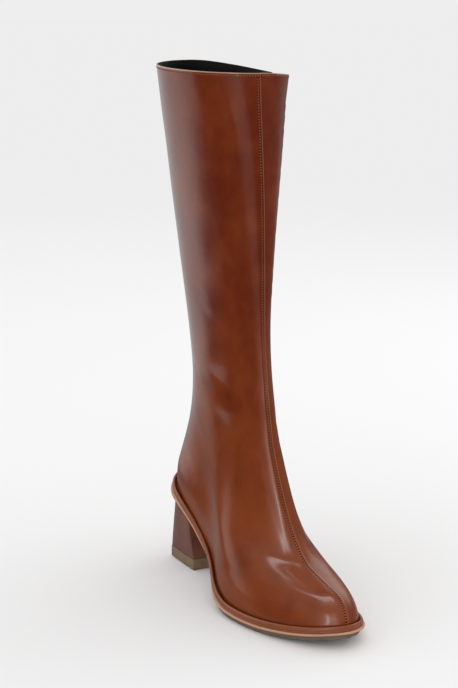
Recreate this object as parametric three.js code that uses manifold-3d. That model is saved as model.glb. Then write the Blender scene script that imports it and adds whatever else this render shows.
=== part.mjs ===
// Knee-high boot for the right foot, with a flared block heel and a zip on the inner side.
// Millimetres, +Z up, toe towards -Y, inner (medial) side towards +X.
// The origin is the middle of the bounding box, on the floor.
import * as THREE from 'three';
import { mergeVertices } from 'three/addons/utils/BufferGeometryUtils.js';
import Module from 'manifold-3d';

// ---- driving dimensions -------------------------------------------------------------
const LENGTH = 255;          // welt, from its back to its toe
const HEEL_HEIGHT = 70.3;    // floor to the underside of the midsole, at the back
const HEEL_SEAT = 31.7;      // half width of the welt round the heel
const HEEL_SEAT_AT = 0.13;   // where along the length it is that wide
const WAIST = { outer: 30.6, inner: 28.2, at: 0.36 };
const BALL = { outer: 47.5, inner: 40.1, outerAt: 0.58, innerAt: 0.71 };
const TOE = { outer: [2.0, 1.72], inner: [2.08, 1.9] };
const TOE_BEND = 13.5;       // how far the toe turns towards the inner side
const BEND_START = 0.35;     // where along the length that turn starts
const MIDSOLE = 2.0;
const OUTSOLE = 4.1;
const WELT_REACH = 4.0;      // from the upper's foot edge to the welt's outer edge
const WELT_HEIGHT = 4.7;
const WELT_BEAD = 2.6;       // height at which the welt meets the upper
const WALL = 2.0;            // leather and lining together
const GAP = 0.3;             // between two pieces
const SEAT_GAP = 0.5;        // between the midsole and what stands on it
const FACET_GAP = 0.05;      // more room where two faceted curves run side by side
const INSOLE = 2.2;
const INSOLE_GAP = 2.0;      // between the insole and the upper's inner face
const TOP_PIECE = 9.7;       // rubber lift under the heel
const SLOT_HALF = 5.0;       // half width of the zip slot
const SLOT_FOOT = 2;         // the section at which the slot ends, above the welt
const ZIP_TOP = 68.1;        // distance of the zip from the back, at the collar
const ZIP_LEAN = 0.056;      // how fast it runs forward on its way down
const COLLAR = 427;

// Height of the midsole's underside above the floor, by distance from the back of the welt.
const SOLE_LINE = [
  [0, HEEL_HEIGHT], [25, 61.9], [61, 48.7], [101, 25.8], [135, 9.6],
  [158, 4.8], [172, 4.4], [190, 4.6], [213, 6.2], [235, 9.0], [LENGTH, 13.2],
];

// The sections of the upper, from its foot edge to the collar. Each is a closed loop in a
// plane that leans from a back point to a front point. Half widths are given at the heel,
// the waist and the ball, 'at' columns are fractions of the section's own length, drop says
// how much of the sole's curve it follows, square and round shape its front end, ridge moves
// the front towards the inner side, turn (degrees) swings it to the outer side, and dip
// lowers the inner side.
const COLUMNS = ['backY', 'backZ', 'frontY', 'frontZ', 'drop', 'heelAt', 'heel', 'waistOut',
  'waistIn', 'outAt', 'inAt', 'ballOut', 'ballIn', 'square', 'round', 'ridge', 'turn', 'dip'];
const SECTIONS = [
  [4.0, 72.0, 251.0, 15.0, 1.00, 0.13, 27.7, 26.6, 24.2, 0.58, 0.71, 43.5, 36.1, 2.05, 1.76, 0, 0, 0],
  [4.2, 79.0, 250.6, 20.0, 1.00, 0.14, 28.6, 27.6, 25.0, 0.58, 0.70, 43.8, 36.4, 2.05, 1.76, -1, 0, 0],
  [6.3, 92.0, 246.3, 27.0, 0.93, 0.15, 29.0, 27.6, 25.2, 0.58, 0.68, 42.8, 35.6, 2.05, 1.75, -3, 0, 0],
  [9.4, 107.0, 235.6, 35.3, 0.80, 0.18, 26.8, 27.0, 25.0, 0.58, 0.66, 40.0, 33.8, 2.0, 1.7, -5, 0, 0],
  [13.4, 122.0, 218.5, 40.8, 0.62, 0.22, 24.4, 26.2, 24.8, 0.58, 0.63, 36.4, 31.2, 2.0, 1.7, -5, 0, 0],
  [17.9, 136.0, 196.6, 49.2, 0.42, 0.27, 23.6, 25.4, 24.6, 0.57, 0.60, 32.2, 28.6, 2.0, 1.7, -4, 0, 0],
  [21.0, 150.0, 177.7, 69.8, 0.25, 0.33, 23.4, 24.8, 24.4, 0.55, 0.57, 28.4, 26.4, 2.0, 1.7, -3, 0, 0],
  [22.3, 163.0, 167.0, 91.0, 0.12, 0.38, 23.4, 24.4, 24.2, 0.53, 0.54, 26.0, 25.2, 2.0, 1.7, -2, 0, 0],
  [22.0, 177.0, 158.5, 113.0, 0.04, 0.42, 23.4, 24.2, 24.2, 0.52, 0.52, 24.8, 24.8, 2.0, 1.65, -1, 0, 0],
  [20.2, 191.0, 151.5, 137.0, 0.00, 0.44, 23.4, 23.9, 23.9, 0.50, 0.50, 24.2, 24.2, 2.0, 1.6, 0, 0, 0],
  [17.2, 207.0, 146.5, 163.0, 0.00, 0.44, 23.6, 23.8, 23.8, 0.50, 0.50, 24.0, 24.0, 2.0, 1.5, 0, 0, 0],
  [13.5, 226.0, 142.3, 193.0, 0.00, 0.44, 24.2, 24.4, 24.4, 0.50, 0.50, 24.5, 24.5, 2.0, 1.4, 0, 0, 0],
  [8.6, 247.0, 139.7, 224.0, 0.00, 0.44, 25.2, 25.4, 25.4, 0.50, 0.50, 25.5, 25.5, 2.0, 1.45, 0, 0, 0],
  [-0.4, 280.0, 138.8, 266.0, 0.00, 0.45, 26.6, 26.8, 26.8, 0.50, 0.50, 27.0, 27.0, 2.0, 1.8, 0, 0, 0],
  [-6.8, 320.0, 139.4, 313.0, 0.00, 0.46, 31.0, 31.2, 31.2, 0.50, 0.50, 31.3, 31.3, 2.0, 2.0, 0, 0.5, 0],
  [-10.2, 360.0, 141.2, 356.0, 0.00, 0.47, 36.8, 37.0, 37.0, 0.50, 0.50, 37.0, 37.0, 2.0, 2.0, 0, 2.0, 2],
  [-11.2, 396.0, 142.4, 391.5, 0.00, 0.48, 43.4, 43.5, 43.5, 0.50, 0.50, 43.5, 43.5, 2.0, 2.0, 0, 3.4, 5],
  [-9.8, COLLAR + 3.5, 143.4, COLLAR - 2, 0.00, 0.49, 49.5, 49.6, 49.6, 0.50, 0.50, 49.6, 49.6, 2.0,
    2.0, 0, 4.6, 7],
];
const TOP = SECTIONS.length - 1;

// ---- curves -------------------------------------------------------------------------
// A smooth curve through a few points that never overshoots them.
function smoothCurve(points, flatEnds = false) {
  const n = points.length;
  const step = (i) => points[i + 1][0] - points[i][0];
  const rise = (i) => (points[i + 1][1] - points[i][1]) / step(i);
  const slope = points.map((_, i) => {
    if (i === 0) return flatEnds ? 0 : rise(0);
    if (i === n - 1) return flatEnds ? 0 : rise(n - 2);
    const before = rise(i - 1);
    const after = rise(i);
    return before * after <= 0 ? 0 : (2 * before * after) / (before + after);
  });
  return (x) => {
    let i = 0;
    while (i < n - 2 && x > points[i + 1][0]) i += 1;
    const h = step(i);
    const s = (x - points[i][0]) / h;
    const [a, b] = [points[i][1], points[i + 1][1]];
    const inPart = s * s * (3 - 2 * s);
    const lift = h * (slope[i] * s * (1 - s) ** 2 - slope[i + 1] * s * s * (1 - s));
    return a + (b - a) * inPart + lift;
  };
}
const soleLine = smoothCurve(SOLE_LINE);

// Half width of a foot-shaped loop at fraction q of its length: a round heel, a waist, the
// ball and a toe whose fullness is set by two exponents.
function footWidth(q, heelAt, heel, waistAt, waist, ballAt, ball, square, round) {
  if (q <= heelAt) return heel * Math.sqrt(Math.max(0, 1 - (1 - q / heelAt) ** 2));
  if (q < ballAt) {
    return smoothCurve([[heelAt, heel], [waistAt, waist], [ballAt, ball]], true)(q);
  }
  const s = (q - ballAt) / (1 - ballAt);
  return ball * Math.max(0, 1 - s ** square) ** (1 / round);
}

function bendAt(y) {
  return TOE_BEND * Math.max(0, (y / LENGTH - BEND_START) / (1 - BEND_START)) ** 2;
}

// Half width of the welt's outline, side +1 inner and -1 outer.
function outlineWidth(y, side) {
  const q = Math.min(1, Math.max(0, y / LENGTH));
  const inner = side > 0;
  return footWidth(q, HEEL_SEAT_AT, HEEL_SEAT, WAIST.at, inner ? WAIST.inner : WAIST.outer,
    inner ? BALL.innerAt : BALL.outerAt, inner ? BALL.inner : BALL.outer,
    ...(inner ? TOE.inner : TOE.outer));
}

// A point of the boot from its distance forward of the back, inward offset and height.
const place = (y, x, z) => new THREE.Vector3(x, -y, z);

// ---- the surface of the upper -----------------------------------------------------------
const columnCurves = COLUMNS.map((_, c) => smoothCurve(SECTIONS.map((row, i) => [i, row[c]])));
function sectionAt(t) {
  return Object.fromEntries(COLUMNS.map((name, c) => [name, columnCurves[c](t)]));
}

const EDGE = MIDSOLE + SEAT_GAP;  // the foot edge stands this far above the sole line
function footDrop(q) {
  const [back, front] = [SECTIONS[0][0], SECTIONS[0][2]];
  const straight = THREE.MathUtils.lerp(soleLine(back), soleLine(front), q);
  return soleLine(THREE.MathUtils.lerp(back, front, q)) - straight;
}

// One side of a section, from the centre back to the centre front, as a fine polyline.
const FINE = 120;
const FOOT_MIDDLE = (HEEL_SEAT_AT + BALL.outerAt) / 2;
function sectionSide(t, side) {
  const s = sectionAt(t);
  const low = Math.max(0, 1 - t);
  const backZ = THREE.MathUtils.lerp(s.backZ, soleLine(s.backY) + EDGE, low);
  const frontZ = THREE.MathUtils.lerp(s.frontZ, soleLine(s.frontY) + EDGE, low);
  const inner = side > 0;
  const ballAt = inner ? s.inAt : s.outAt;
  const waistAt = (s.heelAt + ballAt) / 2 + (WAIST.at - FOOT_MIDDLE) * low;
  const turn = THREE.MathUtils.degToRad(s.turn);
  const middle = (s.backY + s.frontY) / 2;
  const points = [];
  const along = [0];
  for (let i = 0; i <= FINE; i += 1) {
    const q = (1 - Math.cos((Math.PI * i) / FINE)) / 2;
    const y = THREE.MathUtils.lerp(s.backY, s.frontY, q);
    const sag = inner ? s.dip * 4 * q * (1 - q) : 0;
    const z = THREE.MathUtils.lerp(backZ, frontZ, q) + s.drop * footDrop(q) - sag;
    const width = footWidth(q, s.heelAt, s.heel, waistAt, inner ? s.waistIn : s.waistOut,
      ballAt, inner ? s.ballIn : s.ballOut, s.square, s.round);
    const x = side * width + bendAt(y) - s.ridge * q ** 3;
    const swungY = middle + (y - middle) * Math.cos(turn) + x * Math.sin(turn);
    const swungX = x * Math.cos(turn) - (y - middle) * Math.sin(turn);
    points.push(place(swungY, swungX, z));
    if (i > 0) along.push(along[i - 1] + points[i].distanceTo(points[i - 1]));
  }
  return { points, along, length: along[FINE] };
}

function pointAlong(line, distance) {
  const d = THREE.MathUtils.clamp(distance, 0, line.length);
  let i = 0;
  while (i < FINE - 1 && line.along[i + 1] < d) i += 1;
  const share = (d - line.along[i]) / (line.along[i + 1] - line.along[i]);
  return line.points[i].clone().lerp(line.points[i + 1], share);
}

// Distance along the inner side at which the zip's middle crosses the section.
function zipDistance(line) {
  const miss = (i) => -line.points[i].y - ZIP_TOP - ZIP_LEAN * (COLLAR - line.points[i].z);
  let i = 0;
  while (miss(i + 1) < 0) i += 1;
  const share = miss(i) / (miss(i) - miss(i + 1));
  return THREE.MathUtils.lerp(line.along[i], line.along[i + 1], share);
}

// Spreads steps over a length, closer together at both ends where the curve is tight.
const spread = (u) => u - 0.075 * Math.sin(2 * Math.PI * u);
// The same, closer together only towards the far end.
const spreadEnd = (u) => u + 0.16 * Math.sin(Math.PI * u);

const OUTER_STEPS = 20;
const FRONT_STEPS = 10;
const BACK_STEPS = 8;
// The distances along a section at which the columns of the mesh stand.
function ringPoints(t) {
  const outer = sectionSide(t, -1);
  const inner = sectionSide(t, 1);
  const zip = zipDistance(inner);
  const ring = [];
  for (let i = 0; i < OUTER_STEPS; i += 1) {
    ring.push(pointAlong(outer, outer.length * spread(i / OUTER_STEPS)));
  }
  const ahead = inner.length - (zip + SLOT_HALF);
  for (let i = 0; i < FRONT_STEPS; i += 1) {
    ring.push(pointAlong(inner, inner.length - ahead * (1 - spreadEnd(1 - i / FRONT_STEPS))));
  }
  ring.push(pointAlong(inner, zip + SLOT_HALF));
  const behind = zip - SLOT_HALF;
  for (let i = 0; i < BACK_STEPS; i += 1) {
    ring.push(pointAlong(inner, behind * (1 - spreadEnd(i / BACK_STEPS))));
  }
  return ring;
}
const SLOT_COLUMN = OUTER_STEPS + FRONT_STEPS;

// ---- meshes --------------------------------------------------------------------------
// Collects triangles and quads of shared points, and leaves out those without area.
class Solid {
  constructor() {
    this.positions = [];
    this.index = [];
  }
  add(point) {
    this.positions.push(point.x, point.y, point.z);
    return this.positions.length / 3 - 1;
  }
  triangle(a, b, c) {
    this.index.push(a, b, c);
  }
  quad(a, b, c, d) {
    this.triangle(a, b, c);
    this.triangle(a, c, d);
  }
  geometry() {
    const loose = new THREE.BufferGeometry();
    loose.setAttribute('position', new THREE.Float32BufferAttribute(this.positions, 3));
    loose.setIndex(this.index);
    const merged = mergeVertices(loose, 1e-3);
    const kept = [];
    const source = merged.index.array;
    for (let i = 0; i < source.length; i += 3) {
      const [a, b, c] = [source[i], source[i + 1], source[i + 2]];
      if (a !== b && b !== c && c !== a) kept.push(a, b, c);
    }
    merged.setIndex(kept);
    merged.computeVertexNormals();
    return merged;
  }
}

// A solid through equal loops of points, closed at both ends. Each loop runs anticlockwise
// as seen from the last loop, and an end is closed in strips from its first point.
function loft(loops) {
  const solid = new Solid();
  const rings = loops.map((loop) => loop.map((point) => solid.add(point)));
  const n = rings[0].length;
  for (let j = 0; j < rings.length - 1; j += 1) {
    for (let i = 0; i < n; i += 1) {
      const k = (i + 1) % n;
      solid.quad(rings[j][i], rings[j][k], rings[j + 1][k], rings[j + 1][i]);
    }
  }
  const cap = (ring, up) => {
    for (let i = 0; i < n / 2 - 1; i += 1) {
      const [a, b, c, d] = [ring[i], ring[i + 1], ring[n - 2 - i], ring[n - 1 - i]];
      if (up) solid.quad(a, b, c, d);
      else solid.quad(d, c, b, a);
    }
  };
  cap(rings[0], false);
  cap(rings[rings.length - 1], true);
  return solid.geometry();
}

// ---- upper ----------------------------------------------------------------------------
function outwardNormals(rings) {
  const n = rings[0].length;
  return rings.map((ring, j) => ring.map((_, i) => {
    const across = ring[(i + 1) % n].clone().sub(ring[(i + n - 1) % n]);
    const above = rings[Math.min(j + 1, rings.length - 1)][i];
    const below = rings[Math.max(j - 1, 0)][i];
    return across.cross(above.clone().sub(below)).normalize();
  }));
}

const ROWS_PER_SECTION = 2;
function upperGeometry() {
  const rows = TOP * ROWS_PER_SECTION;
  const outside = [];
  for (let j = 0; j <= rows; j += 1) outside.push(ringPoints(j / ROWS_PER_SECTION));
  const normals = outwardNormals(outside);
  const inside = outside.map((ring, j) => ring.map((point, i) => {
    const moved = point.clone().addScaledVector(normals[j][i], -WALL);
    if (j === 0 || j === rows) moved.z = point.z;
    return moved;
  }));
  const solid = new Solid();
  const out = outside.map((ring) => ring.map((point) => solid.add(point)));
  const back = inside.map((ring) => ring.map((point) => solid.add(point)));
  const n = out[0].length;
  const slotRow = SLOT_FOOT * ROWS_PER_SECTION;
  const inSlot = (j, i) => i === SLOT_COLUMN && j >= slotRow;
  for (let j = 0; j < rows; j += 1) {
    for (let i = 0; i < n; i += 1) {
      const k = (i + 1) % n;
      if (!inSlot(j, i)) {
        solid.quad(out[j][i], out[j][k], out[j + 1][k], out[j + 1][i]);
        solid.quad(back[j][k], back[j][i], back[j + 1][i], back[j + 1][k]);
      }
    }
  }
  for (let i = 0; i < n; i += 1) {
    const k = (i + 1) % n;
    solid.quad(out[0][k], out[0][i], back[0][i], back[0][k]);
    if (i !== SLOT_COLUMN) {
      solid.quad(out[rows][i], out[rows][k], back[rows][k], back[rows][i]);
    }
  }
  const [front, rear] = [SLOT_COLUMN, SLOT_COLUMN + 1];
  for (let j = slotRow; j < rows; j += 1) {
    solid.quad(out[j + 1][front], out[j][front], back[j][front], back[j + 1][front]);
    solid.quad(out[j][rear], out[j + 1][rear], back[j + 1][rear], back[j][rear]);
  }
  solid.quad(out[slotRow][front], out[slotRow][rear], back[slotRow][rear], back[slotRow][front]);
  return solid.geometry();
}

// ---- welt ------------------------------------------------------------------------------
// The outline of the sole at a column of the upper's foot edge, straight out from it.
function outlineBeyond(point, normal) {
  const flat = new THREE.Vector3(normal.x, normal.y, 0).normalize();
  return point.clone().addScaledVector(flat, WELT_REACH);
}

// Section of the welt: reach from the upper as a share of its width, and height.
const WELT_PROFILE = [
  [0.97, 0.0], [1.0, 0.6], [1.0, 2.5], [0.93, 3.7], [0.75, 4.5], [0.55, WELT_HEIGHT],
  [0.36, 4.2], [0.24, 3.2],
];
function weltGeometry() {
  const foot = ringPoints(0);
  const bead = ringPoints(1 / ROWS_PER_SECTION);
  const normals = outwardNormals([foot, bead, ringPoints(1)]);
  const solid = new Solid();
  const n = foot.length;
  const sections = foot.map((point, i) => {
    const flat = new THREE.Vector3(normals[0][i].x, normals[0][i].y, 0).normalize();
    const low = point.clone().addScaledVector(flat, GAP + FACET_GAP);
    const high = bead[i].clone().addScaledVector(flat, GAP + FACET_GAP);
    high.z = point.z + WELT_BEAD;
    const rim = outlineBeyond(point, normals[0][i]);
    const ring = [low];
    WELT_PROFILE.forEach(([reach, height]) => {
      const spot = low.clone().lerp(rim, reach);
      const level = soleLine(Math.min(LENGTH, Math.max(0, -spot.y))) + EDGE;
      ring.push(new THREE.Vector3(spot.x, spot.y, level + height));
    });
    ring.push(high);
    return ring.map((spot) => solid.add(spot));
  });
  for (let i = 0; i < n; i += 1) {
    const [a, b] = [sections[i], sections[(i + 1) % n]];
    for (let k = 0; k < a.length; k += 1) {
      const m = (k + 1) % a.length;
      solid.quad(a[k], b[k], b[m], a[m]);
    }
  }
  return solid.geometry();
}

// ---- plates of the sole ------------------------------------------------------------------
const TIP_HALF = 0.8;        // a plate's narrowest half width, at its two ends
const PLATE_END = 0.1;       // how far inside its outline a plate ends

// A plate between two heights, both functions of the distance from the back, cut to the
// welt's outline less an inset.
function plateGeometry({ from, to, inset, under, over, steps, round = 0 }) {
  const loops = [];
  for (let i = 0; i <= steps; i += 1) {
    const y = THREE.MathUtils.lerp(from, to, (1 - Math.cos((Math.PI * i) / steps)) / 2);
    const shrink = (LENGTH - 2 * inset) / LENGTH;
    const spot = (y - inset) / shrink;
    const half = (side) => Math.max(TIP_HALF, outlineWidth(spot, side) - inset);
    const bend = bendAt(y);
    const [low, high] = [under(y), over(y)];
    const waist = (low + high) / 2;
    const [outer, inner] = [bend - half(-1), bend + half(1)];
    loops.push([
      place(y, outer + round, low), place(y, inner - round, low), place(y, inner, waist),
      place(y, inner - round, high), place(y, outer + round, high), place(y, outer, waist),
    ]);
  }
  return loft(loops);
}

function midsoleGeometry() {
  return plateGeometry({ from: FACET_GAP, to: LENGTH - FACET_GAP, inset: 0, steps: 56, round: 0.25,
    under: soleLine, over: (y) => soleLine(y) + MIDSOLE });
}

function insoleGeometry() {
  const inset = WELT_REACH + WALL + INSOLE_GAP;
  const under = (y) => soleLine(y) + EDGE;
  return plateGeometry({ from: inset + PLATE_END, to: LENGTH - inset - PLATE_END, inset,
    steps: 30, under, over: (y) => under(y) + INSOLE });
}

const OUTSOLE_START = 72;    // the tread sole begins under the waist
const OUTSOLE_INSET = 2.6;
function outsoleGeometry() {
  const thickness = smoothCurve([[OUTSOLE_START, 1.0], [105, 2.0], [140, OUTSOLE + 0.3],
    [210, OUTSOLE + 0.2], [LENGTH, OUTSOLE - 0.4]]);
  const over = (y) => soleLine(y) - GAP;
  return plateGeometry({ from: OUTSOLE_START, to: LENGTH - OUTSOLE_INSET - PLATE_END,
    inset: OUTSOLE_INSET, steps: 34, over, under: (y) => Math.max(0, over(y) - thickness(y)) });
}

// ---- heel --------------------------------------------------------------------------------
const HEEL_TOP = { back: 5.6, front: 47, half: 27.6, corner: 27 };
const HEEL_FOOT = { back: 6.6, front: 52.5, half: 24.8, corner: 9 };
const HEEL_CORNER = 0.42;    // power that squares the back corners at the foot, 1 is round
const HEEL_FLARE = 1.35;     // power of the sweep from the seat to the foot
const HEEL_DRAFT = { waist: 0.5, breast: 1.6, seatWaist: 0.3, seatBreast: 0.4 };
const HEEL_STEPS = 9;        // along one side
const BREAST_STEPS = 3;      // across half the breast
const HEEL_LEVELS = 7;
// The heel's outline as seen from above, from the centre back round the outer side.
function heelOutline(share, grow = 0) {
  const mix = (name) => THREE.MathUtils.lerp(HEEL_TOP[name], HEEL_FOOT[name], share);
  const [back, front, half] = [mix('back') - grow, mix('front') + grow, mix('half') + grow];
  const outer = [];
  const seat = 1 - share;
  for (let i = 0; i <= HEEL_STEPS; i += 1) {
    const angle = (Math.PI / 2) * (i / HEEL_STEPS);
    const power = THREE.MathUtils.lerp(1, HEEL_CORNER, share);
    const y = back + mix('corner') * (1 - Math.cos(angle) ** power);
    outer.push([y, half * Math.sin(angle) ** power]);
  }
  const waistY = (outer[HEEL_STEPS][0] + front) / 2;
  const breastHalf = half - HEEL_DRAFT.breast - HEEL_DRAFT.seatBreast * seat;
  outer.push([waistY, half - HEEL_DRAFT.waist - HEEL_DRAFT.seatWaist * seat]);
  outer.push([front, breastHalf]);
  for (let i = 1; i <= BREAST_STEPS; i += 1) {
    outer.push([front, breastHalf * (1 - i / (BREAST_STEPS + 0.5))]);
  }
  return outer;
}

function ringFromOuter(outer, level) {
  const [left, right] = [-1, 1].map((side) => outer.map(([y, x]) => [y, x * side]));
  return [...left, ...right.reverse()].map(([y, x]) => place(y, x, level(y)));
}

function heelGeometry() {
  const loops = [];
  for (let j = 0; j <= HEEL_LEVELS; j += 1) {
    const up = j / HEEL_LEVELS;
    const share = (1 - up) ** HEEL_FLARE;
    const bottom = TOP_PIECE + GAP;
    loops.push(ringFromOuter(heelOutline(share),
      (y) => THREE.MathUtils.lerp(bottom, soleLine(Math.max(0, y)) - GAP, up)));
  }
  return loft(loops);
}

function topPieceGeometry() {
  const slices = [[0, 0], [0.8, 0.5], [TOP_PIECE, 0.3]];
  return loft(slices.map(([z, grow]) => ringFromOuter(heelOutline(1, grow), () => z)));
}

// ---- zip ----------------------------------------------------------------------------------
// A point of the inner side by section and distance forward of the zip's middle line.
function besideZip(t, ahead) {
  const line = sectionSide(t, 1);
  return pointAlong(line, zipDistance(line) + ahead);
}

function zipFrame(t, ahead = 0) {
  const up = besideZip(Math.min(TOP, t + 0.1), ahead).sub(besideZip(t - 0.1, ahead)).normalize();
  const forward = besideZip(t, ahead + 2).sub(besideZip(t, ahead - 2)).normalize();
  const out = up.clone().cross(forward).normalize();
  const across = up.clone().cross(out).normalize();
  return { origin: besideZip(t, ahead), up, out, across };
}

// A ribbon that follows the zip, between two depths under the leather's outer face.
function ribbonGeometry(from, to, steps, edges, top, bottom) {
  const loops = [];
  for (let j = 0; j <= steps; j += 1) {
    const t = THREE.MathUtils.lerp(from, to, j / steps);
    const spots = edges.map((ahead) => {
      const { origin, out } = zipFrame(t, ahead);
      return [origin.clone().addScaledVector(out, -top), origin.clone().addScaledVector(out, -bottom)];
    });
    loops.push([...spots.map((pair) => pair[1]), ...spots.map((pair) => pair[0]).reverse()]);
  }
  return loft(loops);
}

const CHAIN_HALF = 3.0;
const TAPE_HALF = 11.0;
const TAPE = 0.8;
const TAPE_GAP = 0.4;        // between the lining and the tape behind it
const SLIDER_AT = TOP - 0.38;   // section at which the slider's middle stands
const CHAIN_END = SLIDER_AT + 0.02;
function chainGeometry() {
  return ribbonGeometry(SLOT_FOOT + 0.12, CHAIN_END, 30, [-CHAIN_HALF, 0, CHAIN_HALF], 0.4, WALL);
}

function tapeGeometry() {
  const depth = WALL + TAPE_GAP;
  return ribbonGeometry(SLOT_FOOT - 0.35, CHAIN_END, 30, [-TAPE_HALF, -TAPE_HALF / 2, 0,
    TAPE_HALF / 2, TAPE_HALF], depth, depth + TAPE);
}

// ---- slider and pull tab -----------------------------------------------------------------
const wasm = await Module();
wasm.setup();

function toSolid(geometry) {
  const bare = geometry.clone();
  bare.deleteAttribute('normal');
  bare.deleteAttribute('uv');
  const shared = mergeVertices(bare, 1e-4);
  return new wasm.Manifold(new wasm.Mesh({ numProp: 3,
    vertProperties: new Float32Array(shared.attributes.position.array),
    triVerts: new Uint32Array(shared.index.array) }));
}

function toGeometry(solid) {
  const mesh = solid.getMesh();
  const geometry = new THREE.BufferGeometry();
  geometry.setAttribute('position', new THREE.Float32BufferAttribute(mesh.vertProperties, 3));
  geometry.setIndex(Array.from(mesh.triVerts));
  geometry.computeVertexNormals();
  return geometry;
}

const PLATE = { top: 6, bottom: -7, wide: 5.2, narrow: 4.3, thick: 1.2 };
const PIVOT = { y: 0.6, rise: 1.4 };
const BAIL = { inner: 1.8, outer: 3.0, half: 1.1 };
const UPPER_PLATE = 0.4;     // height of the upper plate's underside over the leather
const LOWER_PLATE = -4.9;

function shieldShape() {
  const shape = new THREE.Shape();
  shape.moveTo(-PLATE.narrow, PLATE.bottom + 1);
  shape.lineTo(-PLATE.narrow + 1, PLATE.bottom);
  shape.lineTo(PLATE.narrow - 1, PLATE.bottom);
  shape.lineTo(PLATE.narrow, PLATE.bottom + 1);
  shape.lineTo(PLATE.wide, 1);
  shape.lineTo(PLATE.wide - 0.4, 4);
  shape.quadraticCurveTo(PLATE.wide - 1.6, PLATE.top, 0, PLATE.top);
  shape.quadraticCurveTo(-PLATE.wide + 1.6, PLATE.top, -PLATE.wide + 0.4, 4);
  shape.lineTo(-PLATE.wide, 1);
  return shape;
}

function slab(shape, z, depth, curveSegments = 6) {
  const geometry = new THREE.ExtrudeGeometry(shape, { depth, bevelEnabled: false, curveSegments });
  return geometry.translate(0, 0, z);
}

function block(x0, x1, y0, y1, z0, z1) {
  const geometry = new THREE.BoxGeometry(x1 - x0, y1 - y0, z1 - z0);
  return geometry.translate((x0 + x1) / 2, (y0 + y1) / 2, (z0 + z1) / 2);
}

function bailGeometry() {
  const { inner, outer, half } = BAIL;
  const foot = -PIVOT.rise - 0.3;
  const shape = new THREE.Shape();
  shape.moveTo(-outer, foot);
  shape.lineTo(-outer, 0);
  shape.absarc(0, 0, outer, Math.PI, 0, true);
  shape.lineTo(outer, foot);
  shape.lineTo(inner, foot);
  shape.lineTo(inner, 0);
  shape.absarc(0, 0, inner, 0, Math.PI, false);
  shape.lineTo(-inner, foot);
  const arch = new THREE.ExtrudeGeometry(shape, { depth: 2 * half, bevelEnabled: false,
    curveSegments: 8 });
  arch.translate(0, 0, -half);
  arch.rotateY(Math.PI / 2);
  arch.rotateX(Math.PI / 2);
  return arch.translate(0, PIVOT.y, UPPER_PLATE + PLATE.thick + PIVOT.rise);
}

function sliderGeometry() {
  const flange = [3.5, 4.3];
  const pieces = [
    slab(shieldShape(), UPPER_PLATE, PLATE.thick),
    slab(shieldShape(), LOWER_PLATE, 1.0),
    block(-1.1, 1.1, 2.6, 5.0, LOWER_PLATE + 0.5, UPPER_PLATE + 0.5),
    block(flange[0], flange[1], PLATE.bottom + 1.2, 1, -WALL + 0.1, UPPER_PLATE + 0.5),
    block(-flange[1], -flange[0], PLATE.bottom + 1.2, 1, -WALL + 0.1, UPPER_PLATE + 0.5),
    bailGeometry(),
  ];
  return toGeometry(pieces.map(toSolid).reduce((whole, piece) => whole.add(piece)));
}

const PULL = { half: 4.25, length: 23, thick: 1.2, bar: 1.0, windowHalf: 2.15, window: 6.0 };
function pullGeometry() {
  const { half, length, thick, bar, windowHalf, window } = PULL;
  const corner = 2.6;
  const shape = new THREE.Shape();
  shape.moveTo(-half + 1, bar);
  shape.lineTo(-half, bar - 1);
  shape.lineTo(-half, -length + corner);
  shape.absarc(-half + corner, -length + corner, corner, Math.PI, 1.5 * Math.PI, false);
  shape.absarc(half - corner, -length + corner, corner, 1.5 * Math.PI, 2 * Math.PI, false);
  shape.lineTo(half, bar - 1);
  shape.lineTo(half - 1, bar);
  const hole = new THREE.Path();
  hole.moveTo(-windowHalf, -bar);
  hole.lineTo(-windowHalf, -window);
  hole.lineTo(windowHalf, -window);
  hole.lineTo(windowHalf, -bar);
  shape.holes.push(hole);
  return slab(shape, -thick / 2, thick, 5);
}

// ---- the boot --------------------------------------------------------------------------------
function finish(color, roughness, metalness = 0) {
  return new THREE.MeshStandardMaterial({ color, roughness, metalness });
}
const boot = new THREE.Group();

function addPiece(name, geometry, material) {
  const mesh = new THREE.Mesh(geometry, material);
  mesh.name = name;
  boot.add(mesh);
  return mesh;
}

addPiece('upper', upperGeometry(), finish(0x7a3416, 0.28));
addPiece('insole', insoleGeometry(), finish(0x2a2422, 0.8));
addPiece('welt', weltGeometry(), finish(0x6d3218, 0.45));
addPiece('midsole', midsoleGeometry(), finish(0xc98f6c, 0.6));
addPiece('outsole', outsoleGeometry(), finish(0x6f6254, 0.8));
addPiece('heel', heelGeometry(), finish(0x653424, 0.32));
addPiece('heel_top_piece', topPieceGeometry(), finish(0x7b6547, 0.8));
addPiece('zip_tape', tapeGeometry(), finish(0x5a3520, 0.9));
addPiece('zip_chain', chainGeometry(), finish(0x7a4a2c, 0.5));

// The slider stands square on the zip, and its pull hangs straight down from the bail.
const frame = zipFrame(SLIDER_AT);
const sliderTurn = new THREE.Matrix4().makeBasis(frame.across, frame.up, frame.out);
const slider = addPiece('zip_slider', sliderGeometry(), finish(0xb9b6ae, 0.25, 1));
slider.position.copy(frame.origin);
slider.quaternion.setFromRotationMatrix(sliderTurn);

const pivotHeight = UPPER_PLATE + PLATE.thick + PIVOT.rise;
const pivot = frame.origin.clone().addScaledVector(frame.up, PIVOT.y)
  .addScaledVector(frame.out, pivotHeight);
const hang = new THREE.Vector3(0, 0, 1).addScaledVector(frame.across, -frame.across.z).normalize();
const face = frame.across.clone().cross(hang);
const pull = addPiece('zip_pull', pullGeometry(), finish(0x4b4a4c, 0.35, 1));
pull.position.copy(pivot);
pull.quaternion.setFromRotationMatrix(new THREE.Matrix4().makeBasis(frame.across, hang, face));

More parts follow.
